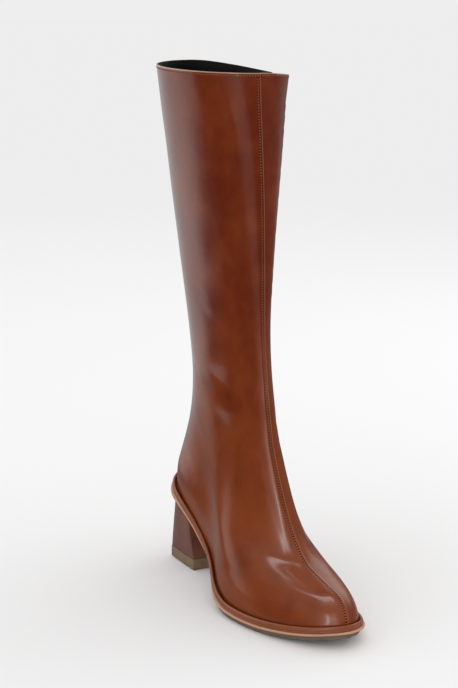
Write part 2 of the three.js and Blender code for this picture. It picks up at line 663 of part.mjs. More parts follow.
// The middle of the bounding box comes to the origin.
boot.updateMatrixWorld(true);
const middle = new THREE.Box3().setFromObject(boot, true).getCenter(new THREE.Vector3());
boot.position.set(-middle.x, -middle.y, 0);

export default boot;
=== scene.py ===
# %% [markdown]
# # A knee-high boot in glossy leather
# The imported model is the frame: it fixes every size and place. This lesson dresses it, piece by
# piece, the way a workshop would: leather and lining over the last, then seams, zip, welt, sole
# and heel, each with its own finish.

# %% The frame and its box
import functools
import math

import bmesh
import bpy
import numpy as np
from mathutils import Matrix, Vector, noise


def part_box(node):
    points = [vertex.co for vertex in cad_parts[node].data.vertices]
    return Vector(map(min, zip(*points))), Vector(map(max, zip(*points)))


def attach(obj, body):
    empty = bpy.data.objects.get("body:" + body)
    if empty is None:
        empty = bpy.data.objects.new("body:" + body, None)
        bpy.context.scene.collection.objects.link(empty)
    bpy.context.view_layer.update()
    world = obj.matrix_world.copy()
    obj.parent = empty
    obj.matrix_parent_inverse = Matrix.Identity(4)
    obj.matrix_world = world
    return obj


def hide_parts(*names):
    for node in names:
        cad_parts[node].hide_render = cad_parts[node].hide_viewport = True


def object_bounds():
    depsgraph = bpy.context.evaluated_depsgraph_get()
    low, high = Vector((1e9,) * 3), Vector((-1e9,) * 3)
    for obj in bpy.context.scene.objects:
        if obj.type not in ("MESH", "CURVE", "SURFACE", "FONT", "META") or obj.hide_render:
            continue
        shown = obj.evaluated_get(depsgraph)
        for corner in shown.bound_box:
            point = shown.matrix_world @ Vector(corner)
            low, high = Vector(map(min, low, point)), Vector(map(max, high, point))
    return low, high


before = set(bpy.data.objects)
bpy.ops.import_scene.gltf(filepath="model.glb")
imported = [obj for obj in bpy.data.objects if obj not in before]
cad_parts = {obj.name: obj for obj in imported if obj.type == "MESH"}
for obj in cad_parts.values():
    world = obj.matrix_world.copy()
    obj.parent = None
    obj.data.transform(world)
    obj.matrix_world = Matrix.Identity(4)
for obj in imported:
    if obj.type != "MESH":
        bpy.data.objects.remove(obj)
CAD_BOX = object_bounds()
print("CAD box", [tuple(round(x, 4) for x in corner) for corner in CAD_BOX])

# %% [markdown]
# ## The shoemaker's units
# A last is drawn in millimetres from the back of the heel forwards. The frame is in metres with
# the toe towards -Y, so one function turns the first into the second. Its two anchors are read
# from the sole and the heel.

# %% From the last's millimetres to the frame
MM = 0.001
BACK_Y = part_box("midsole")[1].y + 0.05 * MM
HEEL_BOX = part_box("heel_top_piece")
CENTRE_X = (HEEL_BOX[0].x + HEEL_BOX[1].x) / 2
print("anchors", round(BACK_Y, 5), round(CENTRE_X, 5))


def place(y, x, z):
    """Points from forward distance, inward offset and height, as rows of X, Y, Z in metres."""
    return np.stack(np.broadcast_arrays(CENTRE_X + x * MM, BACK_Y - y * MM, z * MM), axis=-1)


def smoothstep(low, high, x):
    s = np.clip((x - low) / (high - low), 0, 1)
    return s * s * (3 - 2 * s)


# %% [markdown]
# ## The last as a function
# The upper is a pile of closed loops, each in a plane that leans from a back point to a front
# point. The table gives each loop's ends, its half widths at heel, waist and ball, how far it
# follows the curve of the sole, and how its front end is rounded. A smooth curve through each
# column gives the loops between.

# %% Driving sizes of the foot, in millimetres
LENGTH = 255
HEEL_HEIGHT = 70.3
HEEL_SEAT = 31.7
HEEL_SEAT_AT = 0.13
WAIST_AT = 0.36
WAIST = {-1: 30.6, 1: 28.2}
BALL = {-1: 47.5, 1: 40.1}
BALL_AT = {-1: 0.58, 1: 0.71}
TOE = {-1: (2.0, 1.72), 1: (2.08, 1.9)}
TOE_BEND = 13.5
BEND_START = 0.35
FOOT_MIDDLE = (HEEL_SEAT_AT + BALL_AT[-1]) / 2
MIDSOLE = 2.0
EDGE = MIDSOLE + 0.5
WELT_REACH = 4.0
COLLAR = 427
WALL = 2.0
OUTER, INNER = -1, 1
SOLE_LINE = [(0, HEEL_HEIGHT), (25, 61.9), (61, 48.7), (101, 25.8), (135, 9.6), (158, 4.8),
             (172, 4.4), (190, 4.6), (213, 6.2), (235, 9.0), (LENGTH, 13.2)]

# %% The loops of the upper, from the foot edge to the collar
COLUMNS = ("back_y back_z front_y front_z drop heel_at heel waist_out waist_in out_at in_at "
           "ball_out ball_in square round ridge turn dip").split()
SECTIONS = [
    [4.0, 72.0, 251.0, 15.0, 1.00, .13, 27.7, 26.6, 24.2, .58, .71, 43.5, 36.1, 2.05, 1.76, 0, 0, 0],
    [4.2, 79.0, 250.6, 20.0, 1.00, .14, 28.6, 27.6, 25.0, .58, .70, 43.8, 36.4, 2.05, 1.76, -1, 0, 0],
    [6.3, 92.0, 246.3, 27.0, 0.93, .15, 29.0, 27.6, 25.2, .58, .68, 42.8, 35.6, 2.05, 1.75, -3, 0, 0],
    [9.4, 107.0, 235.6, 35.3, 0.80, .18, 26.8, 27.0, 25.0, .58, .66, 40.0, 33.8, 2, 1.7, -5, 0, 0],
    [13.4, 122.0, 218.5, 40.8, 0.62, .22, 24.4, 26.2, 24.8, .58, .63, 36.4, 31.2, 2, 1.7, -5, 0, 0],
    [17.9, 136.0, 196.6, 49.2, 0.42, .27, 23.6, 25.4, 24.6, .57, .60, 32.2, 28.6, 2, 1.7, -4, 0, 0],
    [21.0, 150.0, 177.7, 69.8, 0.25, .33, 23.4, 24.8, 24.4, .55, .57, 28.4, 26.4, 2, 1.7, -3, 0, 0],
    [22.3, 163.0, 167.0, 91.0, 0.12, .38, 23.4, 24.4, 24.2, .53, .54, 26.0, 25.2, 2, 1.7, -2, 0, 0],
    [22.0, 177.0, 158.5, 113.0, .04, .42, 23.4, 24.2, 24.2, .52, .52, 24.8, 24.8, 2, 1.65, -1, 0, 0],
    [20.2, 191.0, 151.5, 137.0, 0, .44, 23.4, 23.9, 23.9, .50, .50, 24.2, 24.2, 2, 1.6, 0, 0, 0],
    [17.2, 207.0, 146.5, 163.0, 0, .44, 23.6, 23.8, 23.8, .50, .50, 24.0, 24.0, 2, 1.5, 0, 0, 0],
    [13.5, 226.0, 142.3, 193.0, 0, .44, 24.2, 24.4, 24.4, .50, .50, 24.5, 24.5, 2, 1.4, 0, 0, 0],
    [8.6, 247.0, 139.7, 224.0, 0, .44, 25.2, 25.4, 25.4, .50, .50, 25.5, 25.5, 2, 1.45, 0, 0, 0],
    [-0.4, 280.0, 138.8, 266.0, 0, .45, 26.6, 26.8, 26.8, .50, .50, 27.0, 27.0, 2, 1.8, 0, 0, 0],
    [-6.8, 320.0, 139.4, 313.0, 0, .46, 31.0, 31.2, 31.2, .50, .50, 31.3, 31.3, 2, 2, 0, 0.5, 0],
    [-10.2, 360.0, 141.2, 356.0, 0, .47, 36.8, 37.0, 37.0, .50, .50, 37.0, 37.0, 2, 2, 0, 2, 2],
    [-11.2, 396.0, 142.4, 391.5, 0, .48, 43.4, 43.5, 43.5, .50, .50, 43.5, 43.5, 2, 2, 0, 3.4, 5],
    [-9.8, COLLAR + 3.5, 143.4, COLLAR - 2, 0, .49, 49.5, 49.6, 49.6, .50, .50, 49.6, 49.6, 2, 2, 0, 4.6,
     7],
]
TOP = len(SECTIONS) - 1
print(TOP + 1, "loops of", len(COLUMNS), "values")


# %% Smooth curves, and the width of a foot-shaped loop
def smooth_curve(points, flat_ends=False):
    """A curve through a few points that never overshoots them."""
    x, y = np.array(points, float).T
    step = np.diff(x)
    rise = np.diff(y) / step
    slope = np.zeros(len(x))
    same_way = rise[:-1] * rise[1:] > 0
    total = np.where(same_way, rise[:-1] + rise[1:], 1)
    slope[1:-1] = np.where(same_way, 2 * rise[:-1] * rise[1:] / total, 0)
    if not flat_ends:
        slope[0], slope[-1] = rise[0], rise[-1]

    def value(at):
        i = np.clip(np.searchsorted(x, at) - 1, 0, len(x) - 2)
        s = (at - x[i]) / step[i]
        lift = step[i] * (slope[i] * s * (1 - s) ** 2 - slope[i + 1] * s * s * (1 - s))
        return y[i] + (y[i + 1] - y[i]) * s * s * (3 - 2 * s) + lift

    return value


def foot_width(q, heel_at, heel, waist_at, waist, ball_at, ball, square, round_):
    """Half width at fraction q of a loop: round heel, waist, ball and rounded toe."""
    back = heel * np.sqrt(np.clip(1 - (1 - q / heel_at) ** 2, 0, 1))
    middle = smooth_curve([(heel_at, heel), (waist_at, waist), (ball_at, ball)], True)(q)
    s = np.clip((q - ball_at) / (1 - ball_at), 0, 1)
    front = ball * (1 - s ** square) ** (1 / round_)
    return np.where(q <= heel_at, back, np.where(q < ball_at, middle, front))


sole_line = smooth_curve(SOLE_LINE)
column_curves = [smooth_curve([(i, row[c]) for i, row in enumerate(SECTIONS)])
                 for c in range(len(COLUMNS))]


def bend_at(y):
    return TOE_BEND * np.clip((y / LENGTH - BEND_START) / (1 - BEND_START), 0, None) ** 2


def outline_width(y, side):
    """Half width of the welt's outline, side INNER or OUTER."""
    q = np.clip(y / LENGTH, 0, 1)
    return foot_width(q, HEEL_SEAT_AT, HEEL_SEAT, WAIST_AT, WAIST[side], BALL_AT[side],
                      BALL[side], *TOE[side])


# %% One side of a loop, from the centre back to the centre front
FINE = 240
EASE = 14
# Shares of the side's length over which the relaxing fades in and out.
EASE_IN = (0.05, 0.2)
EASE_OUT = (0.82, 0.95)


def foot_drop(q):
    back, front = SECTIONS[0][0], SECTIONS[0][2]
    straight = sole_line(back) + (sole_line(front) - sole_line(back)) * q
    return sole_line(back + (front - back) * q) - straight


def run_along(points):
    """Distance in millimetres along a line of points, from its start to each."""
    steps = np.linalg.norm(np.diff(points, axis=0), axis=1) / MM
    return np.concatenate([[0], np.cumsum(steps)])


def eased(points):
    """The same line with its flank relaxed, as leather does between heel and ball."""
    along = run_along(points)
    even = np.arange(0, along[-1], 1.0)
    reach = np.arange(-3 * EASE, 3 * EASE + 1)
    weight = np.exp(-(reach / EASE) ** 2 / 2)
    share = along / along[-1]
    much = smoothstep(*EASE_IN, share) * (1 - smoothstep(*EASE_OUT, share))
    result = points.copy()
    for k in range(3):
        line = np.pad(np.interp(even, along, points[:, k]), 3 * EASE, mode="edge")
        soft = np.convolve(line, weight / weight.sum(), mode="valid")
        result[:, k] += (np.interp(along, even, soft) - points[:, k]) * much
    return result


@functools.lru_cache(maxsize=None)
def section_side(t, side):
    """One side of loop t: its points in metres, and the millimetres along it at each."""
    s = {name: float(curve(t)) for name, curve in zip(COLUMNS, column_curves)}
    low = max(0.0, 1 - t)
    back_z = s["back_z"] + (sole_line(s["back_y"]) + EDGE - s["back_z"]) * low
    front_z = s["front_z"] + (sole_line(s["front_y"]) + EDGE - s["front_z"]) * low
    which = "in" if side == INNER else "out"
    ball_at = s[which + "_at"]
    waist_at = (s["heel_at"] + ball_at) / 2 + (WAIST_AT - FOOT_MIDDLE) * low
    q = (1 - np.cos(np.pi * np.arange(FINE + 1) / FINE)) / 2
    y = s["back_y"] + (s["front_y"] - s["back_y"]) * q
    sag = s["dip"] * 4 * q * (1 - q) if side == INNER else 0
    z = back_z + (front_z - back_z) * q + s["drop"] * foot_drop(q) - sag
    width = foot_width(q, s["heel_at"], s["heel"], waist_at, s["waist_" + which], ball_at,
                       s["ball_" + which], s["square"], s["round"])
    x = side * width + bend_at(y) - s["ridge"] * q ** 3
    turn = math.radians(s["turn"])
    middle = (s["back_y"] + s["front_y"]) / 2
    swung_y = middle + (y - middle) * math.cos(turn) + x * math.sin(turn)
    swung_x = x * math.cos(turn) - (y - middle) * math.sin(turn)
    points = eased(place(swung_y, swung_x, z))
    return points, run_along(points)


def point_at(t, side, distance):
    """Points of the upper's outer face at distances in millimetres from the centre back."""
    points, along = section_side(float(np.clip(t, 0, TOP)), side)
    return np.stack([np.interp(distance, along, points[:, k]) for k in range(3)], axis=-1)


def side_length(t, side):
    return section_side(float(np.clip(t, 0, TOP)), side)[1][-1]


for place_name, t in (("ankle", 10), ("collar", TOP)):
    print("round the", place_name, round(side_length(t, OUTER) + side_length(t, INNER)), "mm")

# %% Where the zip crosses a loop
ZIP_TOP = 68.1
ZIP_LEAN = 0.056
SLOT_HALF = 5.0
SLOT_FOOT = 2


def zip_distance(t):
    """Distance along the inner side at which the zip's middle line crosses the loop."""
    points, along = section_side(float(np.clip(t, 0, TOP)), INNER)
    forward = (BACK_Y - points[:, 1]) / MM
    ahead = forward - ZIP_TOP - ZIP_LEAN * (COLLAR - points[:, 2] / MM)
    i = int(np.argmax(ahead >= 0))
    share = ahead[i - 1] / (ahead[i - 1] - ahead[i])
    return along[i - 1] + (along[i] - along[i - 1]) * share


# %% [markdown]
# ## Meshes from a sheet
# Leather is a sheet that is bent over the last, so each skin starts as `create_grid` and its
# vertices are carried to their places by a function of their row and column. The UV map keeps
# real distances in metres, so a finish can find an edge or a seam by how far away it is.

# %% A grid that is bent into place
WELD = 0.001 * MM


def loose_object(name, bm, material):
    """A smooth mesh object of a bmesh."""
    mesh = bpy.data.meshes.new(name)
    bm.to_mesh(mesh)
    bm.free()
    for polygon in mesh.polygons:
        polygon.use_smooth = True
    obj = bpy.data.objects.new(name, mesh)
    bpy.context.scene.collection.objects.link(obj)
    mesh.materials.append(material)
    print(f"{name}: {len(mesh.polygons)} faces")
    return obj


def new_object(name, bm, material, body="boot"):
    """A mesh object that rides on a CAD body."""
    obj = loose_object(name, bm, material)
    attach(obj, body)
    return obj


def bent_grid(points, uvs=None, drop=None):
    """A bmesh of a grid whose vertex at row j and column i stands at points[j, i].

    uvs gives each one's UV, and drop says which faces are cut away, by row and column."""
    rows, columns = points.shape[0] - 1, points.shape[1] - 1
    bm = bmesh.new()
    bmesh.ops.create_grid(bm, x_segments=columns, y_segments=rows, size=1)
    layer = bm.loops.layers.uv.new("leather") if uvs is not None else None
    spot = {}
    for vert in bm.verts:
        i, j = round((vert.co.x + 1) / 2 * columns), round((vert.co.y + 1) / 2 * rows)
        spot[vert] = (j, i)
    away = []
    for face in bm.faces:
        corners = [spot[vert] for vert in face.verts]
        if drop is not None and drop[min(j for j, i in corners), min(i for j, i in corners)]:
            away.append(face)
        elif layer is not None:
            for loop in face.loops:
                loop[layer].uv = uvs[spot[loop.vert]]
    for vert, (j, i) in spot.items():
        vert.co = points[j, i]
    bmesh.ops.delete(bm, geom=away, context="FACES")
    bmesh.ops.remove_doubles(bm, verts=bm.verts, dist=WELD)
    return bm


def ring_normals(points):
    """Outward normals of rings of points whose first and last columns are one."""
    across = np.roll(points, -1, axis=1) - np.roll(points, 1, axis=1)
    normal = np.cross(across, np.gradient(points, axis=0))
    normal /= np.maximum(np.linalg.norm(normal, axis=-1, keepdims=True), 1e-12)
    normal[:, 0] = (normal[:, 1] + normal[:, -2]) / 2
    normal[:, -1] = normal[:, 0]
    return normal


def closed_solid(rows):
    """A bent grid through rings of points, with its open ends filled."""
    bm = bent_grid(np.array(rows))
    open_edges = [edge for edge in bm.edges if edge.is_boundary]
    if open_edges:
        bmesh.ops.holes_fill(bm, edges=open_edges, sides=0)
    bmesh.ops.recalc_face_normals(bm, faces=bm.faces)
    return bm


def rounded(obj, width, segments=3, sharp=38):
    """A bevel, in millimetres, on edges sharper than an angle in degrees."""
    bevel = obj.modifiers.new("edges", "BEVEL")
    bevel.width = width * MM
    bevel.segments = segments
    bevel.limit_method = "ANGLE"
    bevel.angle_limit = math.radians(sharp)
    bevel.harden_normals = True


# %% [markdown]
# ## How worn leather lies
# Real leather is never as smooth as the last. The front seam laps one half over the other, the
# ankle folds softly where the foot bends, and the sheet has slow waves that make its
# reflections wander. All of it is a small movement along the normal, in the boot's own sizes.

# %% Columns round the upper
SLOT_STEPS = 4
LAP_EDGE = 0.15
FLARE = 2.6
FLARE_START = TOP - 0.42
CROWDING = 0.1


def spread(u):
    """Steps that draw closer together at both ends, where the curve is tight."""
    return u - CROWDING * np.sin(2 * np.pi * u)


def ring_distances(t, outer_steps, front_steps, back_steps, flare):
    """Sides and distances of the columns: outer side forwards, then the inner side backwards."""
    zip_at = zip_distance(t)
    half = SLOT_HALF + flare * smoothstep(FLARE_START, TOP, t)
    outer, inner = side_length(t, OUTER), side_length(t, INNER)
    outer_run = outer * spread(np.linspace(0, 1, outer_steps + 1))
    lap = inner - LAP_EDGE
    front_run = lap - (lap - zip_at - half) * spread(np.linspace(0, 1, front_steps + 1))
    slot_run = zip_at + np.linspace(half, -half, SLOT_STEPS + 1)[1:]
    back_run = (zip_at - half) * (1 - spread(np.linspace(0, 1, back_steps + 1)))[1:]
    return outer_run, np.concatenate([front_run, slot_run, back_run])


def ring_points(t, outer_run, inner_run):
    return np.concatenate([point_at(t, OUTER, outer_run), point_at(t, INNER, inner_run)])


def skin(rows, columns, flare):
    """Points of the upper's outer face, distance from the centre front, and section of each."""
    steps = np.linspace(0, TOP, rows + 1)
    points, round_front = [], []
    for t in steps:
        outer_run, inner_run = ring_distances(t, *columns, flare)
        points.append(ring_points(t, outer_run, inner_run))
        round_front.append(np.concatenate([outer_run - side_length(t, OUTER),
                                           side_length(t, INNER) - inner_run]))
    sections = np.repeat(steps[:, None], len(points[0]), axis=1)
    return np.array(points), np.array(round_front), sections


# %% Folds and ridges, placed one by one
# Each runs between two spots, given by loop and millimetres round from the centre front, where
# minus is the outer side. A fold's depth is in millimetres, and a ridge's has a minus sign.
FOLD_COLUMNS = "start_t start_u end_t end_u bow width depth".split()
FOLDS = [
    [9.7, -98, 10.2, -8, 1.5, 10.0, -1.1],
    [9.0, -92, 9.4, -12, 1.0, 9.0, 0.9],
    [16.4, 36, 12.4, 34, 0.0, 24.0, -2.8],
    [9.9, 52, 9.2, 10, 2.0, 4.5, 0.8],
    [8.8, 60, 8.4, 14, -2.0, 4.5, 0.6],
    [9.6, -122, 9.3, -96, 1.5, 4.0, 0.4],
    [7.2, -150, 6.3, -118, -1.0, 4.0, 0.35],
    [7.4, -46, 7.0, -16, 2.0, 5.0, 0.4],
    [16.4, -26, 15.6, -18, 0.6, 2.2, -0.45],
    [16.6, -16, 16.1, -9, 0.5, 1.8, -0.25],
    [16.7, 8, 16.0, 14, 0.4, 2.0, -0.3],
    [12.4, -90, 12.0, -52, 2.0, 7.0, 0.6],
    [5.2, -34, 4.9, -12, 1.0, 5.0, 0.35],
    [4.6, 30, 4.4, 10, 1.0, 5.0, 0.3],
]


def front_point(t, u):
    """The point u millimetres round from the centre front."""
    side = OUTER if u < 0 else INNER
    return point_at(t, side, side_length(t, side) - abs(u))


FOLD_STEPS = np.linspace(0, 1, 15)
FOLD_END = 0.06
# Millimetres from one loop to the next where the folds are.
ROW_SPAN = 20


def fold_line(fold):
    """Points along a fold, bowed up by a few millimetres in its middle."""
    bow = fold["bow"] * 4 * FOLD_STEPS * (1 - FOLD_STEPS) / ROW_SPAN
    sections = fold["start_t"] + (fold["end_t"] - fold["start_t"]) * FOLD_STEPS + bow
    around = fold["start_u"] + (fold["end_u"] - fold["start_u"]) * FOLD_STEPS
    return np.array([front_point(t, u) for t, u in zip(sections, around)])


folds = [dict(zip(FOLD_COLUMNS, row)) for row in FOLDS]
fold_lines = [fold_line(fold) for fold in folds]
fold_taper = np.sin(np.pi * (FOLD_END + (1 - 2 * FOLD_END) * FOLD_STEPS))


def folds_at(points):
    """Movement of each point along its normal that the folds give, in millimetres."""
    moved = np.zeros(points.shape[:-1])
    for fold, line in zip(folds, fold_lines):
        gap = np.linalg.norm(points[..., None, :] - line, axis=-1) / MM
        taper = fold_taper[np.argmin(gap, axis=-1)]
        moved -= fold["depth"] * taper * np.exp(-(gap.min(axis=-1) / fold["width"]) ** 2)
    return moved


# %% Slow waves, fine wrinkles at the collar, and the lapped seam
LAP = 0.85
LAP_FADE = 13.0
WAVE = 0.55
WAVE_SCALE = Vector((22, 22, 13))
WRINKLE = 0.16
WRINKLE_SCALE = Vector((330, 330, 210))
WRINKLE_FROM = (14.9, 16.8)
WRINKLE_REACH = 22
STITCH_GROOVE = 0.3
GROOVE_HALF = 0.8
SEAM_INSET = 2.1
HELD_BY_WELT = 1.2


def waves_at(points, sections, u):
    near_top = smoothstep(*WRINKLE_FROM, sections) * np.exp(-(u / WRINKLE_REACH) ** 2)
    moved = np.zeros(points.shape[:-1])
    for index in np.ndindex(moved.shape):
        spot = Vector(points[index])
        slow = noise.noise(spot * WAVE_SCALE)
        fine = noise.noise(spot * WRINKLE_SCALE)
        moved[index] = WAVE * slow + WRINKLE * near_top[index] * fine
    return moved


def lift_at(points, sections, u):
    """The whole movement along the normal, in millimetres."""
    free = smoothstep(0, HELD_BY_WELT, sections)
    lap = np.where(u <= 0, LAP * smoothstep(-LAP_FADE, -SEAM_INSET, u), 0)
    groove = STITCH_GROOVE * np.exp(-((u + SEAM_INSET) / GROOVE_HALF) ** 2)
    return free * (folds_at(points) + waves_at(points, sections, u)) + lap - groove


# %% [markdown]
# ## Shader maths
# Node trees read best as formulas. `Value` wraps a socket so that `1 - mask * 0.5` adds the
# Math nodes by itself, and `Finish` makes every other node with one method: its settings first,
# then its sockets.

# %% Values and finishes
def operator(operation):
    """A method that puts the value before what it meets."""
    return lambda value, *others: value.math(operation, value, *others)


def reflected(operation):
    """The same for a number on the left of the sign."""
    return lambda value, other: value.math(operation, other, value)


class Value:
    """A number that changes over a surface."""

    def __init__(self, finish, socket):
        self.finish = finish
        self.socket = socket

    def math(self, operation, *terms):
        node = self.finish.node("ShaderNodeMath", {"operation": operation}, *terms)
        return Value(self.finish, node.outputs[0])

    __add__ = operator("ADD")
    __radd__ = reflected("ADD")
    __sub__ = operator("SUBTRACT")
    __rsub__ = reflected("SUBTRACT")
    __mul__ = operator("MULTIPLY")
    __rmul__ = reflected("MULTIPLY")
    __truediv__ = operator("DIVIDE")
    __rtruediv__ = reflected("DIVIDE")
    __pow__ = operator("POWER")
    __lt__ = operator("LESS_THAN")
    __gt__ = operator("GREATER_THAN")
    __abs__ = operator("ABSOLUTE")
    sine = operator("SINE")


class Finish:
    """A material and its Principled shader."""

    def __init__(self, name, roughness=0.5, **constants):
        self.material = bpy.data.materials.new(name)
        self.material.use_nodes = True
        self.tree = self.material.node_tree
        self.shader = self.tree.nodes["Principled BSDF"]
        self.shader.inputs["Roughness"].default_value = roughness
        for socket, value in constants.items():
            self.shader.inputs[socket.replace("_", " ")].default_value = value

    def put(self, socket, value):
        if isinstance(value, Value):
            self.tree.links.new(value.socket, socket)
        elif isinstance(value, bpy.types.NodeSocket):
            self.tree.links.new(value, socket)
        else:
            socket.default_value = value

    def node(self, kind, settings=None, *values, **named):
        """A node of a kind: its settings, then its sockets by order or by name."""
        made = self.tree.nodes.new(kind)
        for key, value in (settings or {}).items():
            setattr(made, key, value)
        for socket, value in zip(made.inputs, values):
            self.put(socket, value)
        for key, value in named.items():
            self.put(made.inputs[key.replace("_", " ")], value)
        return made

    def here(self):
        return self.node("ShaderNodeTexCoord").outputs["Object"]

    def uv(self):
        """Distance from the centre front and from the collar, in metres."""
        return self.split(self.node("ShaderNodeUVMap", {"uv_map": "leather"}).outputs["UV"])[:2]

    def axes(self):
        return self.split(self.here())

    def split(self, spot):
        parts = self.node("ShaderNodeSeparateXYZ", None, spot)
        return [Value(self, parts.outputs[axis]) for axis in "XYZ"]

    def ray_is(self, kind):
        """1 for rays of that kind and 0 for all others."""
        return Value(self, self.node("ShaderNodeLightPath").outputs[f"Is {kind} Ray"])

    def noise(self, scale, detail=2.0, roughness=0.5, stretch=(1, 1, 1)):
        spot = self.node("ShaderNodeMapping", None, self.here(), Scale=stretch).outputs[0]
        made = self.node("ShaderNodeTexNoise", None, Vector=spot, Scale=scale, Detail=detail,
                         Roughness=roughness)
        return Value(self, made.outputs["Fac"])

    def cells(self, scale):
        made = self.node("ShaderNodeTexVoronoi", None, Vector=self.here(), Scale=scale)
        return Value(self, made.outputs["Distance"])

    def wave(self, value, turn):
        """A sine between 0 and 1, which turns by so many radians a metre."""
        return (value * turn).sine() * 0.5 + 0.5

    def ramp(self, value, low, high):
        """0 below low and 1 above high, with a soft step between."""
        made = self.node("ShaderNodeMapRange", {"interpolation_type": "SMOOTHSTEP"}, value, low,
                         high)
        return Value(self, made.outputs[0])

    def mix(self, mask, first, second):
        """One colour where the mask is 0 and the other where it is 1."""
        made = self.node("ShaderNodeMix", {"data_type": "RGBA"})
        self.put(made.inputs["Factor"], mask)
        # A Mix node has an A and a B of every type; these are the ones for colours.
        for slot, colour in zip(made.inputs[6:8], (first, second)):
            self.put(slot, (*colour, 1) if isinstance(colour, tuple) else colour)
        return made.outputs[2]

    def colour(self, mask, first, second):
        """Base colour, mixed in the same way."""
        self.put(self.shader.inputs["Base Color"], self.mix(mask, first, second))

    def rough(self, value):
        self.put(self.shader.inputs["Roughness"], value)

    def bump(self, height, distance, strength=1.0):
        """Relief of a height between 0 and 1, its full depth in metres."""
        made = self.node("ShaderNodeBump", None, Height=height, Distance=distance,
                         Strength=strength)
        self.put(self.shader.inputs["Normal"], made.outputs[0])


# %% [markdown]
# ## The leather's finish
# Cognac leather is dyed, waxed and polished: the dye pools in soft clouds, the wax fills the
# pores, and only a fine grain is left in the shine. The cut edges show the pale body of the hide.
# The lower boot is painted lighter where more light falls on the foot, and the pale line at the
# front lap is the raw edge with a painted highlight.

# %% Glossy cognac leather
CHESTNUT = (0.122, 0.0120, 0.0004)
COGNAC = (0.182, 0.0270, 0.0016)
OXBLOOD = (0.070, 0.0065, 0.0004)
# Painted light: the lighter colour that the lower boot is given where more light falls on the foot.
PAINTED_LIGHT_ON_FOOT = (0.245, 0.0490, 0.0070)
RAW_EDGE = (0.50, 0.235, 0.140)


def leather_finish(name):
    made = Finish(name, Coat_Weight=0.35, Coat_Roughness=0.12, Specular_IOR_Level=0.45)
    _, _, height = made.axes()
    clouds = made.noise(26, 4, 0.55)
    flecks = made.noise(120, 3, 0.6)
    streaks = made.noise(45, 3, 0.5, (1, 1, 0.6))
    ripples = made.noise(75, 2, 0.5, (0.3, 0.3, 2.6))
    dye = made.mix(made.ramp(clouds, 0.32, 0.68), CHESTNUT, COGNAC)
    # Painted light: the boot is lighter low down, where more light falls on the foot, in soft clouds.
    painted_light_low = 1 - made.ramp(height, 0.085, 0.240)
    dye = made.mix(painted_light_low * (0.45 + 0.4 * clouds), dye, PAINTED_LIGHT_ON_FOOT)
    dye = made.mix(made.ramp(streaks, 0.45, 0.8) * 0.35, dye, OXBLOOD)
    dye = made.mix(made.ramp(flecks, 0.45, 0.8) * 0.15, dye, COGNAC)
    round_front, below = made.uv()
    at_collar = below < 0.0006
    # The pale line along the front lap is the raw cut edge, and partly a painted highlight of the edge
    # catching the light.
    lap_edge_and_highlight = (round_front > -0.0005) * (round_front < 0.00021)
    dye = made.mix(at_collar, dye, RAW_EDGE)
    made.colour(lap_edge_and_highlight * 0.32, dye, RAW_EDGE)
    made.rough(0.16 + 0.10 * clouds + 0.04 * flecks)
    grain = made.cells(900) * 0.6 + made.noise(1500, 2) * 0.4
    made.bump(grain * 0.15 + made.noise(240, 3) * 0.3 + ripples * 0.55, 0.00013, 0.5)
    return made.material


LEATHER = leather_finish("cognac_leather")

# %% Lining, thread, and dark beads painted as the shade in needle holes
def two_tone(name, first, second, clouds, grain, depth, roughness, varied=0, strength=0.5,
             **constants):
    """A finish of two close colours in clouds, with a fine relief.

    clouds and grain are settings for noise: its scale, detail, roughness and stretch."""
    made = Finish(name, roughness, **constants)
    patches = made.noise(*clouds)
    made.colour(patches, first, second)
    if varied:
        made.rough(roughness + varied * (patches - 0.5))
    made.bump(made.noise(*grain), depth, strength)
    return made.material


LINING = two_tone("black_lining", (0.004, 0.0036, 0.0034), (0.008, 0.007, 0.0066), (75, 3),
                  (900, 3), 0.0001, 0.7, 0.12, 0.6, Specular_IOR_Level=0.15)
THREAD = two_tone("waxed_thread", (0.30, 0.105, 0.052), (0.40, 0.160, 0.085), (208.33, 3),
                  (2500, 3), 0.00008, 0.5, 0.12, 0.6)
# Painted shade: dark beads with no shine stand for the shadow inside each needle hole.
PAINTED_HOLE_SHADE = two_tone("needle_hole_painted_shade", (0.010, 0.003, 0.0015), (0.016, 0.005, 0.002), (75, 3),
                (900, 3), 0.00005, 0.9, 0.12, 0.6, Specular_IOR_Level=0.0)

# %% [markdown]
# ## Leather and lining
# The upper's real wall is leather outside and a thin black lining inside. Both are the same bent
# grid at two depths, given their thickness by a Solidify modifier, so they stay parallel in
# every fold. The slot for the zip is cut by dropping its faces.

# %% The two skins of the upper
LEATHER_ROWS = TOP * 12
LEATHER_COLUMNS = (84, 44, 26)
LEATHER_THICK = 1.15
LINING_ROWS = TOP * 5
LINING_COLUMNS = (40, 22, 14)
LINING_FLARE = 0.8
LINING_THICK = 0.75
LINING_DEPTH = LEATHER_THICK + 0.06


def upper_skin(name, rows, columns, flare, depth, thick, material):
    """One sheet of the upper, at a depth in millimetres; columns are outer, front and back."""
    points, u, sections = skin(rows, columns, flare)
    outward = ring_normals(points)
    moved = (lift_at(points, sections, u) - depth) * MM
    from_collar = np.linalg.norm(np.diff(points, axis=0), axis=-1)[::-1].cumsum(axis=0)[::-1]
    from_collar = np.concatenate([from_collar, np.zeros((1, points.shape[1]))])
    uvs = np.stack([u * MM, from_collar], axis=-1)
    points = points + outward * moved[..., None]
    points[:, -1] = points[:, 0]
    slot = np.zeros(points.shape[:2], bool)
    first = columns[0] + 1 + columns[1]
    slot[round(SLOT_FOOT * rows / TOP):, first:first + SLOT_STEPS] = True
    obj = new_object(name, bent_grid(points, uvs, slot), material)
    wall = obj.modifiers.new("wall", "SOLIDIFY")
    wall.thickness = thick * MM
    wall.offset = -1
    return obj


